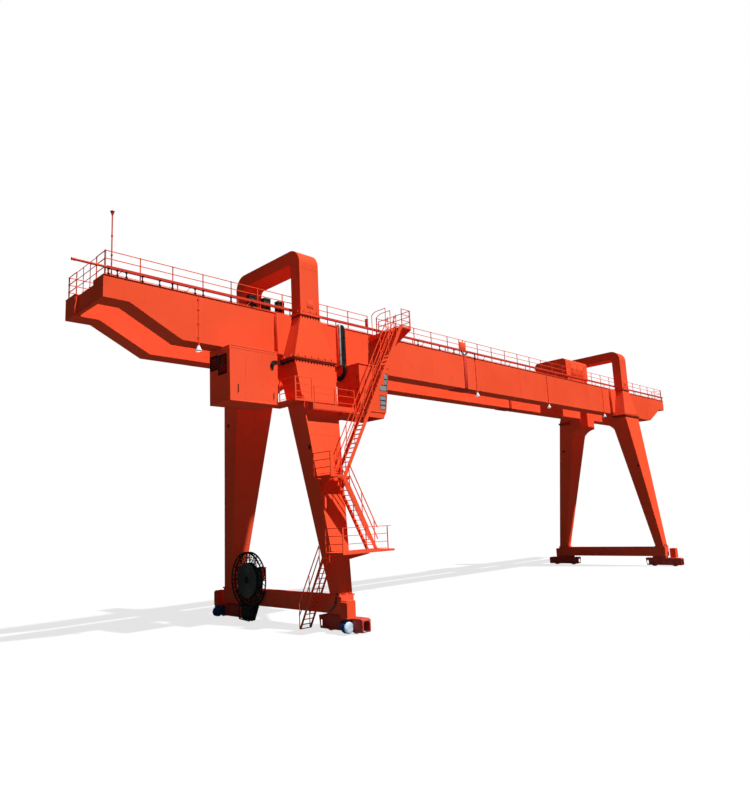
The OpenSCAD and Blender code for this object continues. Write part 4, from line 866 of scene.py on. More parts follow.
class CRANE_OT_cables(Operator):
    """Cable tray beside the cab, and the cables clipped along the steelwork"""
    bl_idname = "crane.cables"
    bl_label = "Cables"

    def execute(self, context):
        tray, cables, clips = Shape(), Shape(), Shape()
        tray.block((TRAY_LEFT, -1.018, TRAY_FOOT), (TRAY_RIGHT, -GIRDER_OUT, TRAY_TOP), 0.003)
        for x in (TRAY_LEFT, TRAY_RIGHT):
            tray.block((x - 0.007, -1.075, TRAY_FOOT), (x + 0.007, -GIRDER_OUT, TRAY_TOP), 0.003)
        for z in TRAY_RUNGS:
            tray.block((TRAY_LEFT, -1.028, z - 0.010), (TRAY_RIGHT, -1.016, z + 0.010), 0.003)
        tray.done("cable_tray", "paint")
        conduit = Shape()
        route = ((-0.96, 7.480), (-1.040, 7.465), (CONDUIT_Y, 7.38), (CONDUIT_Y, 6.90), (CONDUIT_Y, 6.40))
        conduit.hose([(CONDUIT_X, y, z) for y, z in route], CONDUIT_R, 10)
        conduit.done("cable_conduit", "steel")
        for i, x in enumerate(CAB_CABLES):
            wall, up, side = CAB_BACK - 0.040, 0.052 * i, 0.050 * i
            cables.hose([(x - 0.06, -0.950, 7.485), (x - 0.02, -1.03, 7.480), (x, -1.052, 7.40),
                         (x, -1.052, 6.95), (x, -1.052, 6.48), (x - 0.01, -1.09, 6.40),
                         (wall + 0.01, -1.21 + side, 6.335), (wall, -1.225 + side, 6.250),
                         (wall, -1.205 + side, 6.150), (wall, -1.120 + side * 0.5, 6.050 + up),
                         (wall, -1.000, 6.000 + up), (wall, -0.930 - side * 0.4, 6.040 + up * 0.5),
                         (CAB_BACK + 0.004, -0.945, 6.110)], CAB_CABLE_R, 8)
        for z in TRAY_CLIPS:
            clips.block((-7.452, -1.088, z - 0.012), (-7.314, -1.018, z + 0.012), 0.004)
        for i in range(ROOM_CABLES):
            out, z = 0.016 + 0.010 * i, 0.030 * i
            wall, leg = -1.330 - out, -9.375 - out
            cables.hose([(-9.86, wall + 0.02, 5.97 - z), (-9.905, wall, 5.985 - z), (-9.925, wall, 6.05 - z),
                         (-9.87, wall, 6.12 - z), (-9.77, wall, 6.13 - z), (-9.70, -1.27, 6.14 - z),
                         (-9.56, -1.08, 6.16 - z), (-9.42, -1.02, 6.19 - z), (leg, -1.08, 6.195 - z),
                         (leg, -1.30, 6.195 - z), (leg + 0.004, -1.50, 6.195 - z)], ROOM_CABLE_R, 8)
        for y in LEG_CLIPS:
            clips.block((-9.412, y - 0.010, 6.140), (-9.362, y + 0.010, 6.212), 0.004)
        clips.block((-9.935, -1.375, 5.975), (-9.865, -1.325, 6.050), 0.006)
        cables.hose([(-8.92, -2.235, 0.850), (-8.957, -2.232, 0.820), (-8.960, -2.210, 0.723),
                     (-8.958, -2.182, 0.615), (-8.953, -2.093, 0.516), (-8.948, -1.97, 0.440),
                     (-8.90, -1.93, 0.420)], LEG_CABLE_R, 8)
        clips.block((-8.975, -2.200, 0.630), (-8.936, -2.160, 0.655), 0.003)
        cables.done("clipped_cables", "rubber")
        clips.done("cable_clips", "black")
        return {"FINISHED"}


# Cable track

TRACK_Y, TRACK_Z = -1.002, 7.600
# The pipe's left end, past the girder's tip
TRACK_LEFT = -14.320
ROLLERS = (-13.60, -13.42, -13.23, -12.89, -12.51, -12.22, -11.68, -11.48, -10.77, -10.2,
           -5.62, -5.1, -4.3, -3.3, -2.6)


STRUTS = (-13.3, -11.76, -10.2, -5.6, -4.0, -2.5, -0.9, 0.6, 2.2, 3.7, 5.3, 6.9)
# The channel along the track, and its section as Y and Z round the pipe's middle
CHANNEL_END = 13.635
CHANNEL = ((-0.027, -0.027), (-0.027, 0.029), (0.027, 0.029), (0.027, -0.027), (0.012, -0.027),
           (0.012, -0.022), (0.021, -0.022), (0.021, 0.023), (-0.021, 0.023), (-0.021, -0.022),
           (-0.012, -0.022), (-0.012, -0.027))
PIPE_END = 13.640


def pipe_collar(shape, x, bore, radius):
    """A short collar round the track's pipe."""
    shape.turned((x, TRACK_Y, TRACK_Z), ALONG, [(0, bore), (0, radius), (0.03, radius), (0.03, bore)], 12)


class CRANE_OT_track(Operator):
    """Cable rollers under the track's pipe, its struts and its end stop"""
    bl_idname = "crane.track"
    bl_label = "Cable track"

    def execute(self, context):
        rollers, struts = Shape(), Shape()
        for x in ROLLERS:
            rollers.turned((x, TRACK_Y, GIRDER_TOP), UP,
                           [(0, 0), (0, 0.030), (0.016, 0.030), (0.046, 0.012), (0.092, 0.012),
                            (0.122, 0.032), (0.136, 0.032), (0.136, 0)], 12)
        rollers.done("cable_rollers", "black")
        for x in STRUTS:
            struts.strip((x - 0.15, TRACK_Y, GIRDER_TOP), (x, TRACK_Y, TRACK_Z), 0.014, 0.014, ACROSS)
            struts.strip((x - 0.19, TRACK_Y, GIRDER_TOP + 0.003), (x - 0.11, TRACK_Y, GIRDER_TOP + 0.003),
                         0.040, 0.006, ACROSS)
            pipe_collar(struts, x - 0.015, 0.016, 0.022)
        rail = Shape()
        rail.plate([(-CHANNEL_END, TRACK_Y + y, TRACK_Z + z) for y, z in CHANNEL],
                   (2 * CHANNEL_END, 0, 0))
        rail.done("track_channel", "dark_paint")
        struts.turned((PIPE_END, TRACK_Y, TRACK_Z), ALONG,
                      [(0, 0), (0, 0.034), (0.016, 0.034), (0.02, 0.028), (0.02, 0)], 16)
        reach = -PIPE_END - TRACK_LEFT
        struts.turned((TRACK_LEFT, TRACK_Y, TRACK_Z), ALONG,
                      [(0, 0), (0, 0.032), (0.012, 0.032), (0.012, 0.024), (reach, 0.024), (reach, 0)], 12)
        for x in (TRACK_LEFT + 0.04, -13.96):
            pipe_collar(struts, x, 0.023, 0.030)
        struts.done("track_struts", "paint")
        return {"FINISHED"}


# Railings

POST_PITCH = 0.790
RAIL_H = 0.520
RAIL_Y = 0.965
RAIL_END = 13.650
LANDING_LEFT, LANDING_RIGHT = -6.345, -6.000
LANDING_Z = 7.375
END_RAIL_X, END_BEAM_TOP = -13.640, 7.410


def posts_between(a, b):
    """The feet of a railing's posts, from the middle of the first to the middle of the last."""
    a, b = Vector(a), Vector(b)
    count = max(1, math.ceil((b - a).length / POST_PITCH))
    return [a + (b - a) * i / count for i in range(count + 1)]


class CRANE_OT_railings(Operator):
    """Couplings and base plates of the girders' railings, and the swan-necked ends at the landing"""
    bl_idname = "crane.railings"
    bl_label = "Railings"

    def execute(self, context):
        knobs, ends = Shape(), Shape()
        runs = [((-RAIL_END, -RAIL_Y, GIRDER_TOP), (LANDING_LEFT - 0.009, -RAIL_Y, GIRDER_TOP)),
                ((LANDING_RIGHT + 0.009, -RAIL_Y, GIRDER_TOP), (RAIL_END, -RAIL_Y, GIRDER_TOP)),
                ((-RAIL_END, RAIL_Y, GIRDER_TOP), (RAIL_END, RAIL_Y, GIRDER_TOP))]
        for a, b in runs:
            for foot in posts_between(a, b):
                for share in (1 / 3, 2 / 3):
                    place = foot + Vector((0, 0, RAIL_H * share))
                    knobs.rod(place - Vector((0.016, 0, 0)), place + Vector((0.016, 0, 0)), 0.0125, 6)
                top = foot + Vector((0, 0, RAIL_H))
                knobs.turned(top - Vector((0, 0, 0.026)), UP,
                             [(0, 0.010), (0.004, 0.016), (0.022, 0.017), (0.032, 0.010), (0.034, 0)], 8)
                knobs.block(foot + Vector((-0.030, -0.020, 0)), foot + Vector((0.030, 0.020, 0.007)), 0.002)
        knobs.done("railing_couplings", "dark_paint")
        self.end_gap(ends)
        top = GIRDER_TOP + RAIL_H
        for x, lift in ((LANDING_LEFT + 0.04, 0.03), (LANDING_RIGHT - 0.12, 0.00)):
            ends.hose([(x, -1.10, GIRDER_TOP - 0.08), (x, -1.10, top - 0.10 + lift),
                       (x, -1.14, top - 0.02 + lift),
                       (x + 0.01, -1.24, top + 0.03 + lift), (x + 0.02, -1.42, top + 0.04 + lift),
                       (x + 0.02, -1.60, top + 0.04 + lift)], 0.010, 8)
            ends.block((x - 0.025, -1.125, LANDING_Z), (x + 0.025, -1.075, LANDING_Z + 0.008), 0.002)
            ends.rod((x + 0.02, -1.60, LANDING_Z), (x + 0.02, -1.60, top + 0.05 + lift), 0.010)
        ends.done("landing_swan_necks", "paint")
        box = Shape()
        box.block((-6.412, -1.000, 7.62), (-6.352, -0.930, 7.86), 0.008, 2)
        box.block((-6.418, -1.006, 7.855), (-6.346, -0.924, 7.872), 0.003)
        for z in (7.66, 7.82):
            box.rod((-6.382, -1.000, z), (-6.382, -1.008, z), 0.008, 6)
        box.done("landing_switch_box", "dark_paint")
        return {"FINISHED"}

    def end_gap(self, ends):
        """The railing over the gap between the girders' left ends, standing on the end beam."""
        x, foot = END_RAIL_X, END_BEAM_TOP
        for y in (-0.18, 0.18):
            ends.rod((x, y, foot), (x, y, GIRDER_TOP + RAIL_H), 0.009)
            ends.block((x - 0.020, y - 0.025, foot), (x + 0.020, y + 0.025, foot + 0.007), 0.002)
        for share in (1 / 3, 2 / 3, 0.986):
            z = GIRDER_TOP + RAIL_H * share
            ends.rod((x, -0.530, z), (x, 0.530, z), 0.0075)


# Stairs and landings

# Decks of the landings, as two corners in X and Y, and the height of each
DECKS = [((-6.331, -2.226), (-6.014, -1.005), LANDING_Z),
         ((-9.696, -1.916), (-9.192, -1.700), 5.175),
         ((-9.164, -1.916), (-7.480, -1.740), 5.010)]
PLATE_LENGTH = 0.45


class CRANE_OT_walkways(Operator):
    """Chequered floor plates and cleats of the landings"""
    bl_idname = "crane.walkways"
    bl_label = "Walkways"

    def execute(self, context):
        floors, cleats = Shape(), Shape()
        for low, high, z in DECKS:
            count = max(1, round((high[0] - low[0]) / PLATE_LENGTH))
            step = (high[0] - low[0]) / count
            for i in range(count):
                floors.block((low[0] + step * i + 0.004, low[1], z - 0.001),
                             (low[0] + step * (i + 1) - 0.004, high[1], z + 0.005), 0.002)
        # The plates' dark colour is partly painted shade: it keeps the decks from throwing light up onto the
        # leg heads
        floors.done("floor_plates", "walkway")
        for x in (LANDING_LEFT, LANDING_RIGHT):
            for y in (-2.20, -1.97):
                for z in (7.34, 7.30):
                    cleats.rod((x, y, z), (x, y - 0.012, z), 0.009, 6)
        for x in (-9.45, -8.75, -8.05):
            cleats.strip((x, -1.930, 4.985), (x, -1.930, 5.120 if x < -9.2 else 5.0), 0.030, 0.010, ALONG)
        cleats.done("landing_cleats", "dark_paint")
        return {"FINISHED"}


# Travel drives and bogies

DRIVE_Y, GEAR_LENGTH = 2.410, 0.100
MOTOR_X, MOTOR_Z, MOTOR_R = 0.243, 0.150, 0.113
FINS, GRILLE_BARS = 28, 8
BOGIE_SIDE = 0.122
WHEEL_AXLES = (1.807, 2.627)
AXLE_Z = 0.150
STIFFENERS = (1.84, 1.98, 2.12, 2.26)
# Edge strips of the bogies: where each starts and ends along Y, and its height
BOGIE_EDGES = ((1.55, 2.86, 0.322), (1.58, 2.88, 0.056))
HOUSING_IN, HOUSING_OUT = 2.44, 2.66


def motor(fins, cowls, x, s, e):
    """The fins, terminal box and fan cowl of one travel motor."""
    middle = Vector((x + e * MOTOR_X, s * (DRIVE_Y + GEAR_LENGTH), MOTOR_Z))
    out = Vector((0, s, 0))
    for i in range(FINS):
        turn = math.tau * i / FINS
        radial = Vector((math.cos(turn), 0, math.sin(turn)))
        foot = middle + radial * (MOTOR_R + 0.002)
        fins.strip(foot + out * 0.012, foot + out * 0.100, 0.016, 0.004, radial)
    fins.block(middle + Vector((-0.045, min(0.02 * s, 0.095 * s), 0.100)),
               middle + Vector((0.045, max(0.02 * s, 0.095 * s), 0.150)), 0.006, 2)
    end = middle + out * 0.104
    cowls.turned(end, out, [(0, MOTOR_R), (0, MOTOR_R + 0.009), (0.030, MOTOR_R + 0.009),
                            (0.044, MOTOR_R - 0.004), (0.047, 0.060), (0.047, 0)], 32)
    for radius in (0.035, 0.055, 0.075, 0.093):
        cowls.torus(end + out * 0.047, out, radius, 0.0035, 24, 4)
    for i in range(GRILLE_BARS):
        turn = math.tau * i / GRILLE_BARS
        radial = Vector((math.cos(turn), 0, math.sin(turn)))
        cowls.strip(end + out * 0.048 + radial * 0.012, end + out * 0.048 + radial * 0.100, 0.004, 0.004, out)


def gear_bolts(shape, x, s, e):
    """Bolts round a gear unit's face, and its oil plug."""
    face = s * (DRIVE_Y + GEAR_LENGTH)
    for dx in (0.150, 0.215, 0.275):
        shape.rod((x + e * dx, s * DRIVE_Y, 0.262), (x + e * dx, s * (DRIVE_Y - 0.010), 0.262), 0.008, 6)
        shape.rod((x + e * dx, face, 0.268), (x + e * dx, face + s * 0.008, 0.268), 0.008, 6)
    for z in (0.120, 0.190):
        shape.rod((x + e * 0.300, s * (DRIVE_Y + 0.05), z), (x + e * 0.310, s * (DRIVE_Y + 0.05), z),
                  0.010, 6)


def bearing_cover(shape, bolts, x, y, e):
    """The cover over a wheel axle on a bogie's side, with its bolts."""
    face = x + e * BOGIE_SIDE
    shape.turned((face, y, AXLE_Z), (e, 0, 0),
                 [(-0.002, 0.062), (0.008, 0.062), (0.012, 0.056), (0.012, 0.030), (0.020, 0.024),
                  (0.020, 0)], 20)
    bolts.bolt_circle(Vector((face + e * 0.010, y, AXLE_Z)), Vector((e, 0, 0)), 0.045, 6, (0.007, 0.008))


class CRANE_OT_drives(Operator):
    """Fins, fan cowls and bolts of the travel drives, and the bogies' bearing covers"""
    bl_idname = "crane.drives"
    bl_label = "Travel drives and bogies"

    def execute(self, context):
        fins, cowls, bolts, covers, seats = Shape(), Shape(), Shape(), Shape(), Shape()
        for x, s in LEGS:
            e = 1 if x > 0 else -1
            motor(fins, cowls, x, s, e)
            gear_bolts(bolts, x, s, e)
            for y in WHEEL_AXLES:
                bearing_cover(covers, bolts, x, s * y, -e)
            bearing_cover(covers, bolts, x, s * WHEEL_AXLES[0], e)
            for y in STIFFENERS:
                for side in SIDES:
                    seats.plate([(x + side * dx, s * y - 0.005, z) for dx, z in
                                 ((0.120, 0.330), (0.160, 0.396), (0.160, 0.401), (0.120, 0.401))],
                                (0, 0.010, 0))
            for side in SIDES:
                for start, end, z in BOGIE_EDGES:
                    seats.strip((x + side * 0.126, s * start, z), (x + side * 0.126, s * end, z),
                                0.012, 0.008, UP, 0.002)
        fins.done("motor_fins", "drive_paint")
        cowls.done("fan_cowls", "cowl")
        bolts.done("drive_bolts", "black")
        covers.done("bearing_covers", "dark_paint")
        seats.done("bogie_stiffeners", "dark_paint")
        housings = Shape()
        for x, s in LEGS:
            e = 1 if x > 0 else -1
            low, high = sorted((s * HOUSING_IN, s * HOUSING_OUT))
            for z in (0.352, 0.668):
                housings.strip((x + e * 0.302, low + 0.004, z), (x + e * 0.302, high - 0.004, z),
                               0.014, 0.008, UP, 0.002)
            left, right = sorted((x + e * 0.06, x + e * 0.27))
            housings.block((left, low + 0.01, 0.695), (right, high - 0.01, 0.703), 0.003)
            for y in (low, high):
                for dx in (0.085, 0.255):
                    for z in (0.36, 0.62):
                        housings.rod((x + e * dx, y - 0.006, z), (x + e * dx, y + 0.006, z), 0.009, 6)
        housings.done("drive_housing_trim", "paint")
        return {"FINISHED"}


# Cable reel

REEL = Vector((-9.031, 1.050, 1.030))
REEL_R, REEL_HALF = 0.700, 0.055
SPOKES = 12
CABLE_R, CABLE_PITCH = 0.012, 0.031
HUB_PROFILE = [(0, 0.100), (0.022, 0.100), (0.026, 0.094), (0.026, 0.055), (0.050, 0.048), (0.050, 0)]
# The radii of the reel's two rings and of their tubes
RINGS = ((REEL_R - 0.012, 0.012, 6), (0.560, 0.008, 5))
BOX_LOW, BOX_HIGH = Vector((-8.700, 0.930, 1.080)), Vector((-8.560, 1.170, 1.300))


class CRANE_OT_reel(Operator):
    """Wound cable, hub, rim tubes and spoke stays of the cable reel, and its drive box"""
    bl_idname = "crane.reel"
    bl_label = "Cable reel"

    def execute(self, context):
        wound, frame_work, box = Shape(), Shape(), Shape()
        for e in SIDES:
            face = REEL + Vector((e * (REEL_HALF - 0.001), 0, 0))
            for i in range(11):
                wound.torus(face, ALONG, 0.110 + CABLE_PITCH * i, CABLE_R, 40, 5)
            frame_work.turned(REEL + Vector((e * 0.040, 0, 0)), (e, 0, 0), HUB_PROFILE, 24)
            for i in range(6):
                turn = math.tau * i / 6
                place = REEL + Vector((e * 0.064, 0.076 * math.cos(turn), 0.076 * math.sin(turn)))
                frame_work.rod(place, place + Vector((e * 0.010, 0, 0)), 0.009, 6)
            for radius, thick, sides in RINGS:
                frame_work.torus(REEL + Vector((e * (REEL_HALF - 0.006), 0, 0)), ALONG,
                                 radius, thick, 48, sides)
        for i in range(SPOKES):
            turn = math.tau * i / SPOKES
            radial = Vector((0, math.cos(turn), math.sin(turn)))
            across = Vector((0, -math.sin(turn), math.cos(turn)))
            for radius in (0.470, 0.560, 0.665):
                place = REEL + radial * radius
                frame_work.rod(place - Vector((0.052, 0, 0)), place + Vector((0.052, 0, 0)), 0.009)
            for e in SIDES:
                side = REEL + Vector((e * 0.052, 0, 0))
                frame_work.strip(side + radial * 0.10, side + radial * 0.44, 0.024, 0.020, across, 0.002)
                for half in (math.pi * 0.56 / SPOKES, -math.pi * 0.56 / SPOKES):
                    frame_work.strip(side + radial * 0.44, side + radial * 0.655 + across * half,
                                     0.012, 0.010, across)
        wound.done("wound_cable", "rubber", "cable_reel")
        frame_work.done("reel_framework", "reel", "cable_reel")
        box.block(BOX_LOW, BOX_HIGH, 0.010, 2)
        box.block((BOX_LOW.x - 0.005, BOX_LOW.y - 0.005, BOX_HIGH.z - 0.004),
                  (BOX_HIGH.x + 0.005, BOX_HIGH.y + 0.005, BOX_HIGH.z + 0.012), 0.004)
        box.turned((BOX_LOW.x - 0.016, REEL.y, REEL.z), ALONG,
                   [(0, 0), (0, 0.085), (0.02, 0.085), (0.03, 0.070), (0.14, 0.070), (0.15, 0.060),
                    (0.15, 0)], 24)
        for z in (BOX_LOW.z + 0.04, BOX_HIGH.z - 0.04):
            for y in (BOX_LOW.y + 0.02, BOX_HIGH.y - 0.02):
                box.rod((BOX_LOW.x, y, z), (BOX_LOW.x - 0.008, y, z), 0.007, 6)
        box.done("reel_drive", "paint")
        guide = Shape()
        for y, z in ((0.87, 0.37), (1.08, 0.10), (1.30, 0.10), (1.46, 0.37)):
            guide.rod((-8.934, y, z), (-9.030, y, z), 0.016, 10)
        for a, b in (((0.84, 0.400), (1.04, 0.016)), ((1.04, 0.016), (1.50, 0.046)),
                     ((1.50, 0.046), (1.50, 0.400))):
            for x, wide in ((-9.022, 0.016), (-8.940, 0.012)):
                guide.strip((x, *a), (x, *b), wide, 0.024, ALONG, 0.002)
        guide.done("guide_edges", "reel")
        return {"FINISHED"}


# Trolley and hook

TROLLEY_X = 5.911
HOUSE_Z, HOUSE_H, HOUSE_HALF_W, HOUSE_HALF_L = 7.680, 0.783, 0.700, 0.870
RIB_PITCH, RIB = 0.100, (0.026, 0.016, ACROSS, 0.005)
BELT = (0.024, 0.022, UP, 0.004)
HATCH_HALF = 0.23


class CRANE_OT_trolley(Operator):
    """Ribs, hatches, vents and bolts of the trolley's house and frame"""
    bl_idname = "crane.trolley"
    bl_label = "Trolley"

    def execute(self, context):
        ribs, hatches, vents, metal = Shape(), Shape(), Shape(), Shape()
        for e in SIDES:
            x = TROLLEY_X + e * HOUSE_HALF_L
            for i in range(13):
                y = RIB_PITCH * (i - 6)
                ribs.strip((x, y, HOUSE_Z + 0.02), (x, y, HOUSE_Z + HOUSE_H - 0.09), *RIB)
            for z in (HOUSE_Z + 0.01, HOUSE_Z + 0.40):
                ribs.strip((x, -HOUSE_HALF_W, z), (x, HOUSE_HALF_W, z), *BELT)
        for s in SIDES:
            y, face = s * HOUSE_HALF_W, s * (HOUSE_HALF_W + 0.012)
            low, high = sorted((y, face))
            ribs.strip((TROLLEY_X - HOUSE_HALF_L, y, HOUSE_Z + 0.01),
                       (TROLLEY_X + HOUSE_HALF_L, y, HOUSE_Z + 0.01), *BELT)
            for dx in (-0.58, -0.29, 0.29, 0.58):
                ribs.strip((TROLLEY_X + dx, y, HOUSE_Z + 0.02), (TROLLEY_X + dx, y, HOUSE_Z + 0.62),
                           0.010, 0.008, ALONG)
            for x in (TROLLEY_X - 0.27, TROLLEY_X + 0.27):
                hatches.block((x - HATCH_HALF, low, HOUSE_Z + 0.12),
                              (x + HATCH_HALF, high, HOUSE_Z + 0.58), 0.004)
                hatches.strip((x, face, HOUSE_Z + 0.13), (x, face, HOUSE_Z + 0.57), 0.012, 0.008, ALONG)
                hatches.strip((x - 0.22, face, HOUSE_Z + 0.35), (x + 0.22, face, HOUSE_Z + 0.35),
                              0.012, 0.008, UP)
                metal.rod((x + 0.19, face + s * 0.010, HOUSE_Z + 0.32),
                          (x + 0.19, face + s * 0.010, HOUSE_Z + 0.39), 0.006)
        ribs.done("house_ribs", "paint", "trolley")
        hatches.done("house_hatches", "paint", "trolley")
        for x in (-0.5, 0.5):
            vents.turned((TROLLEY_X + x, 0, HOUSE_Z + HOUSE_H - 0.01), UP,
                         [(0, 0.070), (0.05, 0.070), (0.05, 0.110), (0.065, 0.110), (0.090, 0.060),
                          (0.095, 0)], 20)
        vents.done("roof_vents", "paint", "trolley")
        for s in SIDES:
            for w in SIDES:
                place = Vector((TROLLEY_X + w * 0.600, s * 0.695, 7.5903))
                metal.turned(place, (0, s, 0), [(0, 0.052), (0.010, 0.052), (0.016, 0.044), (0.016, 0)], 20)
                for x in (-0.34, 0.34):
                    metal.rod((TROLLEY_X + w * 0.45 + x * 0.2, s * 0.695, 7.655),
                              (TROLLEY_X + w * 0.45 + x * 0.2, s * 0.705, 7.655), 0.009, 6)
                metal.turned((TROLLEY_X + w * 0.790, s * 0.620, 7.615), (w, 0, 0),
                             [(0, 0.034), (0.010, 0.034), (0.012, 0.024), (0.060, 0.026), (0.066, 0.018),
                              (0.066, 0)], 16)
        metal.done("trolley_fittings", "black", "trolley")
        return {"FINISHED"}


HOOK_Z, CROSS_Z, SHEAVE_Z = 6.878, 7.090, 7.250
DRUM_Z = 7.780
ROPE_OUT, ROPE_PITCH, ROPE_RADIUS = 0.1073, 0.100, 0.007
GUARD_HALF, GUARD_Y, GUARD_DROP = 0.210, 0.095, 0.090


class CRANE_OT_hook(Operator):
    """Pin caps, rope guards, nut and safety latch of the hook block, and the ropes it hangs on"""
    bl_idname = "crane.hook"
    bl_label = "Hook block"

    def execute(self, context):
        block = Shape()
        for e in SIDES:
            x = TROLLEY_X + e * 0.226
            block.turned((x, 0, SHEAVE_Z), (e, 0, 0),
                         [(0, 0.044), (0.014, 0.044), (0.020, 0.036), (0.020, 0)], 20)
            block.bolt_circle(Vector((x, 0, SHEAVE_Z)), Vector((e, 0, 0)), 0.066, 4, (0.008, 0.008), 0.004)
            for y in (-0.052, 0.052):
                block.rod((TROLLEY_X + e * 0.23, y, CROSS_Z), (TROLLEY_X + e * 0.240, y, CROSS_Z), 0.010, 6)
        for s in SIDES:
            block.rod((TROLLEY_X - GUARD_HALF, s * GUARD_Y, SHEAVE_Z - GUARD_DROP),
                      (TROLLEY_X + GUARD_HALF, s * GUARD_Y, SHEAVE_Z - GUARD_DROP), 0.008)
        block.turned((TROLLEY_X, 0, CROSS_Z - 0.075), UP,
                     [(0, 0.018), (0, 0.034), (0.006, 0.038), (0.030, 0.038), (0.036, 0.034),
                      (0.036, 0.018)], 20)
        block.strip((TROLLEY_X - 0.055, 0, HOOK_Z + 0.072), (TROLLEY_X + 0.010, 0, HOOK_Z + 0.085),
                    0.022, 0.004, ACROSS)
        block.done("hook_fittings", "black", "hook")
        falls = Shape()
        for place in (-1.5, -0.5, 0.5, 1.5):
            x = TROLLEY_X + place * ROPE_PITCH
            for s in SIDES:
                falls.rod((x, s * ROPE_OUT, SHEAVE_Z), (x, s * ROPE_OUT, DRUM_Z), ROPE_RADIUS, 12)
        ropes = falls.done("rope_falls", "rope", None)
        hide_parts("hoist_ropes")
        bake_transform(ropes)
        return {"FINISHED"}


# Lamps, mast and resistors

LAMPS = (7.330, 2.910, -1.510, -5.930, -11.600)
LAMP_FOOT_Z = 6.190
LAMP_CLIPS = (6.48, 6.80, 7.12, 7.35)
LENS_PROFILE = [(0, 0.066), (0.004, 0.073), (0.010, 0.073), (0.014, 0.064), (0.022, 0.040), (0.025, 0)]
RESISTOR_X, RESISTOR_PITCH = -10.100, 0.410
SLAT = (0.012, 0.010, UP, 0.002)
MAST_FOOT, MAST_H = Vector((-13.500, -0.905, GIRDER_TOP)), 1.398


class CRANE_OT_small_parts(Operator):
    """Lamp lenses and clips, the mast's foot, cap and collars, and the resistor boxes' louvres"""
    bl_idname = "crane.small_parts"
    bl_label = "Lamps, mast and resistors"

    def execute(self, context):
        lenses, fittings, louvres, mast_foot = Shape(), Shape(), Shape(), Shape()
        for x in LAMPS:
            y = -GIRDER_OUT - 0.009
            lenses.turned((x, y, LAMP_FOOT_Z), (0, 0, -1), LENS_PROFILE, 24)
            fittings.turned((x, y, 6.292), UP,
                            [(0, 0.019), (0.012, 0.026), (0.030, 0.026), (0.040, 0.012)], 12)
            for z in LAMP_CLIPS:
                fittings.block((x - 0.026, y - 0.014, z - 0.012), (x + 0.026, y + 0.009, z + 0.012), 0.003)
        lenses.done("lamp_lenses", "lens")
        fittings.done("lamp_clips", "paint")
        for i in range(3):
            x = RESISTOR_X + RESISTOR_PITCH * i
            for row in range(9):
                z = GIRDER_TOP + 0.05 + row * 0.032
                for y in (-0.925, -0.785):
                    louvres.strip((x - 0.085, y, z), (x + 0.085, y, z), *SLAT)
                for e in SIDES:
                    louvres.strip((x + e * 0.095, -0.915, z), (x + e * 0.095, -0.795, z), *SLAT)
            louvres.block((x - 0.103, -0.933, GIRDER_TOP + 0.332),
                          (x + 0.103, -0.777, GIRDER_TOP + 0.346), 0.003)
        louvres.done("resistor_louvres", "black")
        mast_foot.turned(MAST_FOOT, UP, [(0, 0.050), (0.010, 0.050), (0.014, 0.022), (0.060, 0.018),
                                                (0.060, 0.013)], 16)
        mast_foot.turned(MAST_FOOT + Vector((0, 0, MAST_H)), UP,
                         [(0, 0.039), (0, 0.045), (0.010, 0.045), (0.018, 0.036), (0.026, 0.012),
                          (0.028, 0)], 20)
        for z in (0.45, 0.86):
            mast_foot.turned(MAST_FOOT + Vector((0, 0, z)), UP,
                             [(0, 0.013), (0, 0.020), (0.03, 0.020), (0.03, 0.013)], 12)
        mast_foot.done("mast_fittings", "dark_paint")
        return {"FINISHED"}


# Saddles

SADDLE_SEAM = 8.620


class CRANE_OT_saddle_parts(Operator):
    """Weld beads, lifting eyes and drain covers of the saddles, and the stops' rubber pads"""
    bl_idname = "crane.saddle_parts"
    bl_label = "Saddles"

    def execute(self, context):
        beads, pads = Shape(), Shape()
        for x, s in LEGS:
            for e in SIDES:
                side = x + e * SADDLE_HALF
                beads.strip((side, s * 1.046, SADDLE_SEAM), (side, s * 1.389, SADDLE_SEAM),
                            0.010, 0.006, UP)
                beads.strip((side, s * 0.60, 8.782), (side, s * 0.60, 9.124), 0.010, 0.006, ACROSS)
            beads.strip((x - SADDLE_HALF, s * SADDLE_OUT, SADDLE_SEAM),
                        (x + SADDLE_HALF, s * SADDLE_OUT, SADDLE_SEAM), 0.010, 0.006, UP)
            beads.turned((x - 0.012, s * 0.55, SADDLE_TOP), ALONG,
                         [(0, 0.014), (0, 0.036), (0.024, 0.036), (0.024, 0.014), (0, 0.014)], 16)
            beads.block((x - 0.10, s * 1.392 - 0.006, 7.60), (x + 0.10, s * 1.392 + 0.006, 7.80), 0.003)
            for dx in (-0.085, 0.085):
                for z in (7.615, 7.785):
                    beads.rod((x + dx, s * 1.397, z), (x + dx, s * 1.406, z), 0.007, 6)
        beads.done("saddle_fittings", "paint")
        for e in SIDES:
            for s in SIDES:
                pads.turned((e * 13.369, s * 0.620, 7.600), (-e, 0, 0),
                            [(0, 0.034), (0.010, 0.034), (0.014, 0.028), (0.050, 0.030), (0.056, 0.022),
                             (0.056, 0)], 16)
        pads.done("stop_pads", "rubber")
        return {"FINISHED"}


# Stage

# Camera as the photograph was taken: its place in metres, its focal length and the
# picture's principal point in pixels of the photograph's frame
CAMERA_PLACE = Vector((-18.7264, -13.3725, 2.4115))
CAMERA_FOCAL = 655.443
CAMERA_CENTRE = (368.284, 412.776)
SENSOR = 36.0


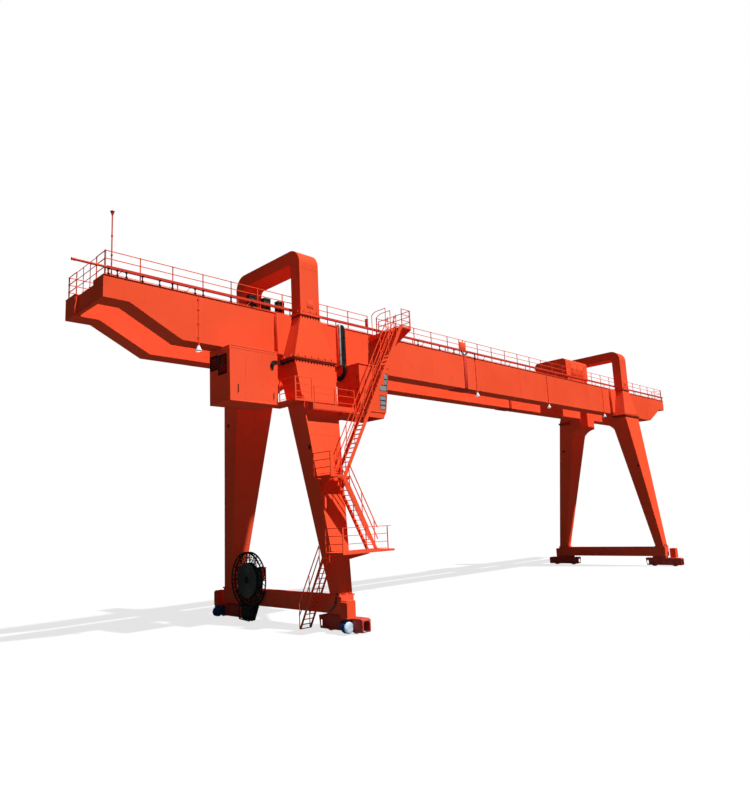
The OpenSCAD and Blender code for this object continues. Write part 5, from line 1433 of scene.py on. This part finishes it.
def aim_camera(context):
    stage = context.scene.crane_stage
    forward = Vector((math.cos(stage.yaw) * math.cos(stage.pitch),
                      math.sin(stage.yaw) * math.cos(stage.pitch), math.sin(stage.pitch)))
    right = Vector((math.sin(stage.yaw), -math.cos(stage.yaw), 0))
    up = right.cross(forward)
    across = right * math.cos(stage.roll) + up * math.sin(stage.roll)
    above = up * math.cos(stage.roll) - right * math.sin(stage.roll)
    lens = bpy.data.cameras.new("camera")
    camera = bpy.data.objects.new("camera", lens)
    context.collection.objects.link(camera)
    turn = Matrix((across, above, -forward)).transposed().to_4x4()
    camera.matrix_world = Matrix.Translation(CAMERA_PLACE) @ turn
    lens.sensor_fit = "HORIZONTAL"
    lens.sensor_width = SENSOR
    lens.lens = CAMERA_FOCAL / PHOTO_WIDTH * SENSOR
    lens.shift_x = (PHOTO_WIDTH / 2 - CAMERA_CENTRE[0]) / PHOTO_WIDTH
    lens.shift_y = (CAMERA_CENTRE[1] - PHOTO_HEIGHT / 2) / PHOTO_WIDTH
    lens.clip_end = 400
    context.scene.camera = camera


# Sun's direction of travel: it stands on the -Y side, a little to the +X side of the crane
SUN_TRAVEL = Vector((-0.10, 0.575, -0.812))
SUN_SIZE = math.radians(1.5)
# The second lamp reaches only the faces turned to +X and +Y, which the sun leaves dark
BACK_TRAVEL = Vector((-0.55, -0.80, -0.12))
BACK_SIZE = math.radians(20)
FLOOR_SIZE = 160
# Light of its own that the floor shows to the camera, so that shadows on it stay pale
FLOOR_GLOW = 0.76


def stage_floor(context):
    bm = bmesh.new()
    bmesh.ops.create_grid(bm, x_segments=1, y_segments=1, size=FLOOR_SIZE)
    mesh = bpy.data.meshes.new("floor")
    bm.to_mesh(mesh)
    bm.free()
    floor = bpy.data.objects.new("floor", mesh)
    context.collection.objects.link(floor)
    c = context.scene.crane_paint
    s = Shader("floor")
    tone = s.mix(s.noise(0.2, 2.0), rgba(c.floor), rgba(c.floor, 0.97))
    rays = s.node("LightPath")
    seen = rays.outputs["Is Camera Ray"]
    for kind in ("Is Glossy Ray", "Is Transmission Ray"):
        seen = s.larger(seen, rays.outputs[kind])
    s.set(Base_Color=s.mix(seen, rgba(c.ground), tone), Roughness=0.9, Specular_IOR_Level=0.0,
          Emission_Color=(1, 1, 1, 1), Emission_Strength=s.times(seen, FLOOR_GLOW))
    floor.data.materials.append(s.material)


def far_lamp(context, name, strength, size, travel):
    """A lamp far away, whose light travels along travel."""
    lamp = bpy.data.lights.new(name, "SUN")
    lamp.energy = strength
    lamp.angle = size
    holder = bpy.data.objects.new(name, lamp)
    holder.rotation_euler = travel.to_track_quat("-Z", "Y").to_euler()
    context.collection.objects.link(holder)
    return lamp


def stage_light(context):
    stage = context.scene.crane_stage
    far_lamp(context, "sun", stage.sun_strength, SUN_SIZE, SUN_TRAVEL)
    far_lamp(context, "back_lamp", stage.back_strength, BACK_SIZE, BACK_TRAVEL).use_shadow = False
    world = bpy.data.worlds.new("sky")
    world.use_nodes = True
    context.scene.world = world
    nodes, links = world.node_tree.nodes, world.node_tree.links
    fill = nodes["Background"]
    fill.inputs["Color"].default_value = (0.86, 0.91, 1.0, 1)
    fill.inputs["Strength"].default_value = stage.sky_strength
    backdrop = nodes.new("ShaderNodeBackground")
    backdrop.inputs["Color"].default_value = (1, 1, 1, 1)
    rays = nodes.new("ShaderNodeLightPath")
    seen = rays.outputs["Is Camera Ray"]
    for kind in ("Is Glossy Ray", "Is Transmission Ray"):
        either = nodes.new("ShaderNodeMath")
        either.operation = "MAXIMUM"
        links.new(seen, either.inputs[0])
        links.new(rays.outputs[kind], either.inputs[1])
        seen = either.outputs[0]
    choose = nodes.new("ShaderNodeMixShader")
    links.new(seen, choose.inputs["Fac"])
    links.new(fill.outputs[0], choose.inputs[1])
    links.new(backdrop.outputs[0], choose.inputs[2])
    links.new(choose.outputs[0], nodes["World Output"].inputs["Surface"])


class CRANE_OT_stage(Operator):
    """Set out the floor, the lights and the camera"""
    bl_idname = "crane.stage"
    bl_label = "Stage"

    def execute(self, context):
        aim_camera(context)
        stage_floor(context)
        stage_light(context)
        context.scene.view_settings.view_transform = "Standard"
        return {"FINISHED"}


PIECES = [CRANE_OT_finishes, CRANE_OT_joints, CRANE_OT_plating, CRANE_OT_splices, CRANE_OT_room,
          CRANE_OT_cab, CRANE_OT_cables, CRANE_OT_track, CRANE_OT_railings, CRANE_OT_walkways,
          CRANE_OT_drives, CRANE_OT_reel, CRANE_OT_trolley, CRANE_OT_hook, CRANE_OT_small_parts,
          CRANE_OT_saddle_parts, CRANE_OT_stage]


class CRANE_PT_panel(Panel):
    """The crane's operators and settings"""
    bl_idname = "CRANE_PT_panel"
    bl_label = "Gantry crane"
    bl_space_type = "VIEW_3D"
    bl_region_type = "UI"
    bl_category = "Gantry crane"

    def draw(self, context):
        for operator in PIECES:
            self.layout.operator(operator.bl_idname)
        for group in (context.scene.crane_paint, context.scene.crane_stage):
            for key in group.bl_rna.properties.keys():
                if key not in ("rna_type", "name"):
                    self.layout.prop(group, key)


CLASSES = [CranePaint, CraneStage, *PIECES, CRANE_PT_panel]


def register():
    for item in CLASSES:
        bpy.utils.register_class(item)
    bpy.types.Scene.crane_paint = PointerProperty(type=CranePaint)
    bpy.types.Scene.crane_stage = PointerProperty(type=CraneStage)


def unregister():
    del bpy.types.Scene.crane_stage
    del bpy.types.Scene.crane_paint
    for item in reversed(CLASSES):
        bpy.utils.unregister_class(item)


def main():
    register()
    for operator in PIECES:
        group, name = operator.bl_idname.split(".")
        getattr(getattr(bpy.ops, group), name)()


if __name__ == "__main__":
    main()
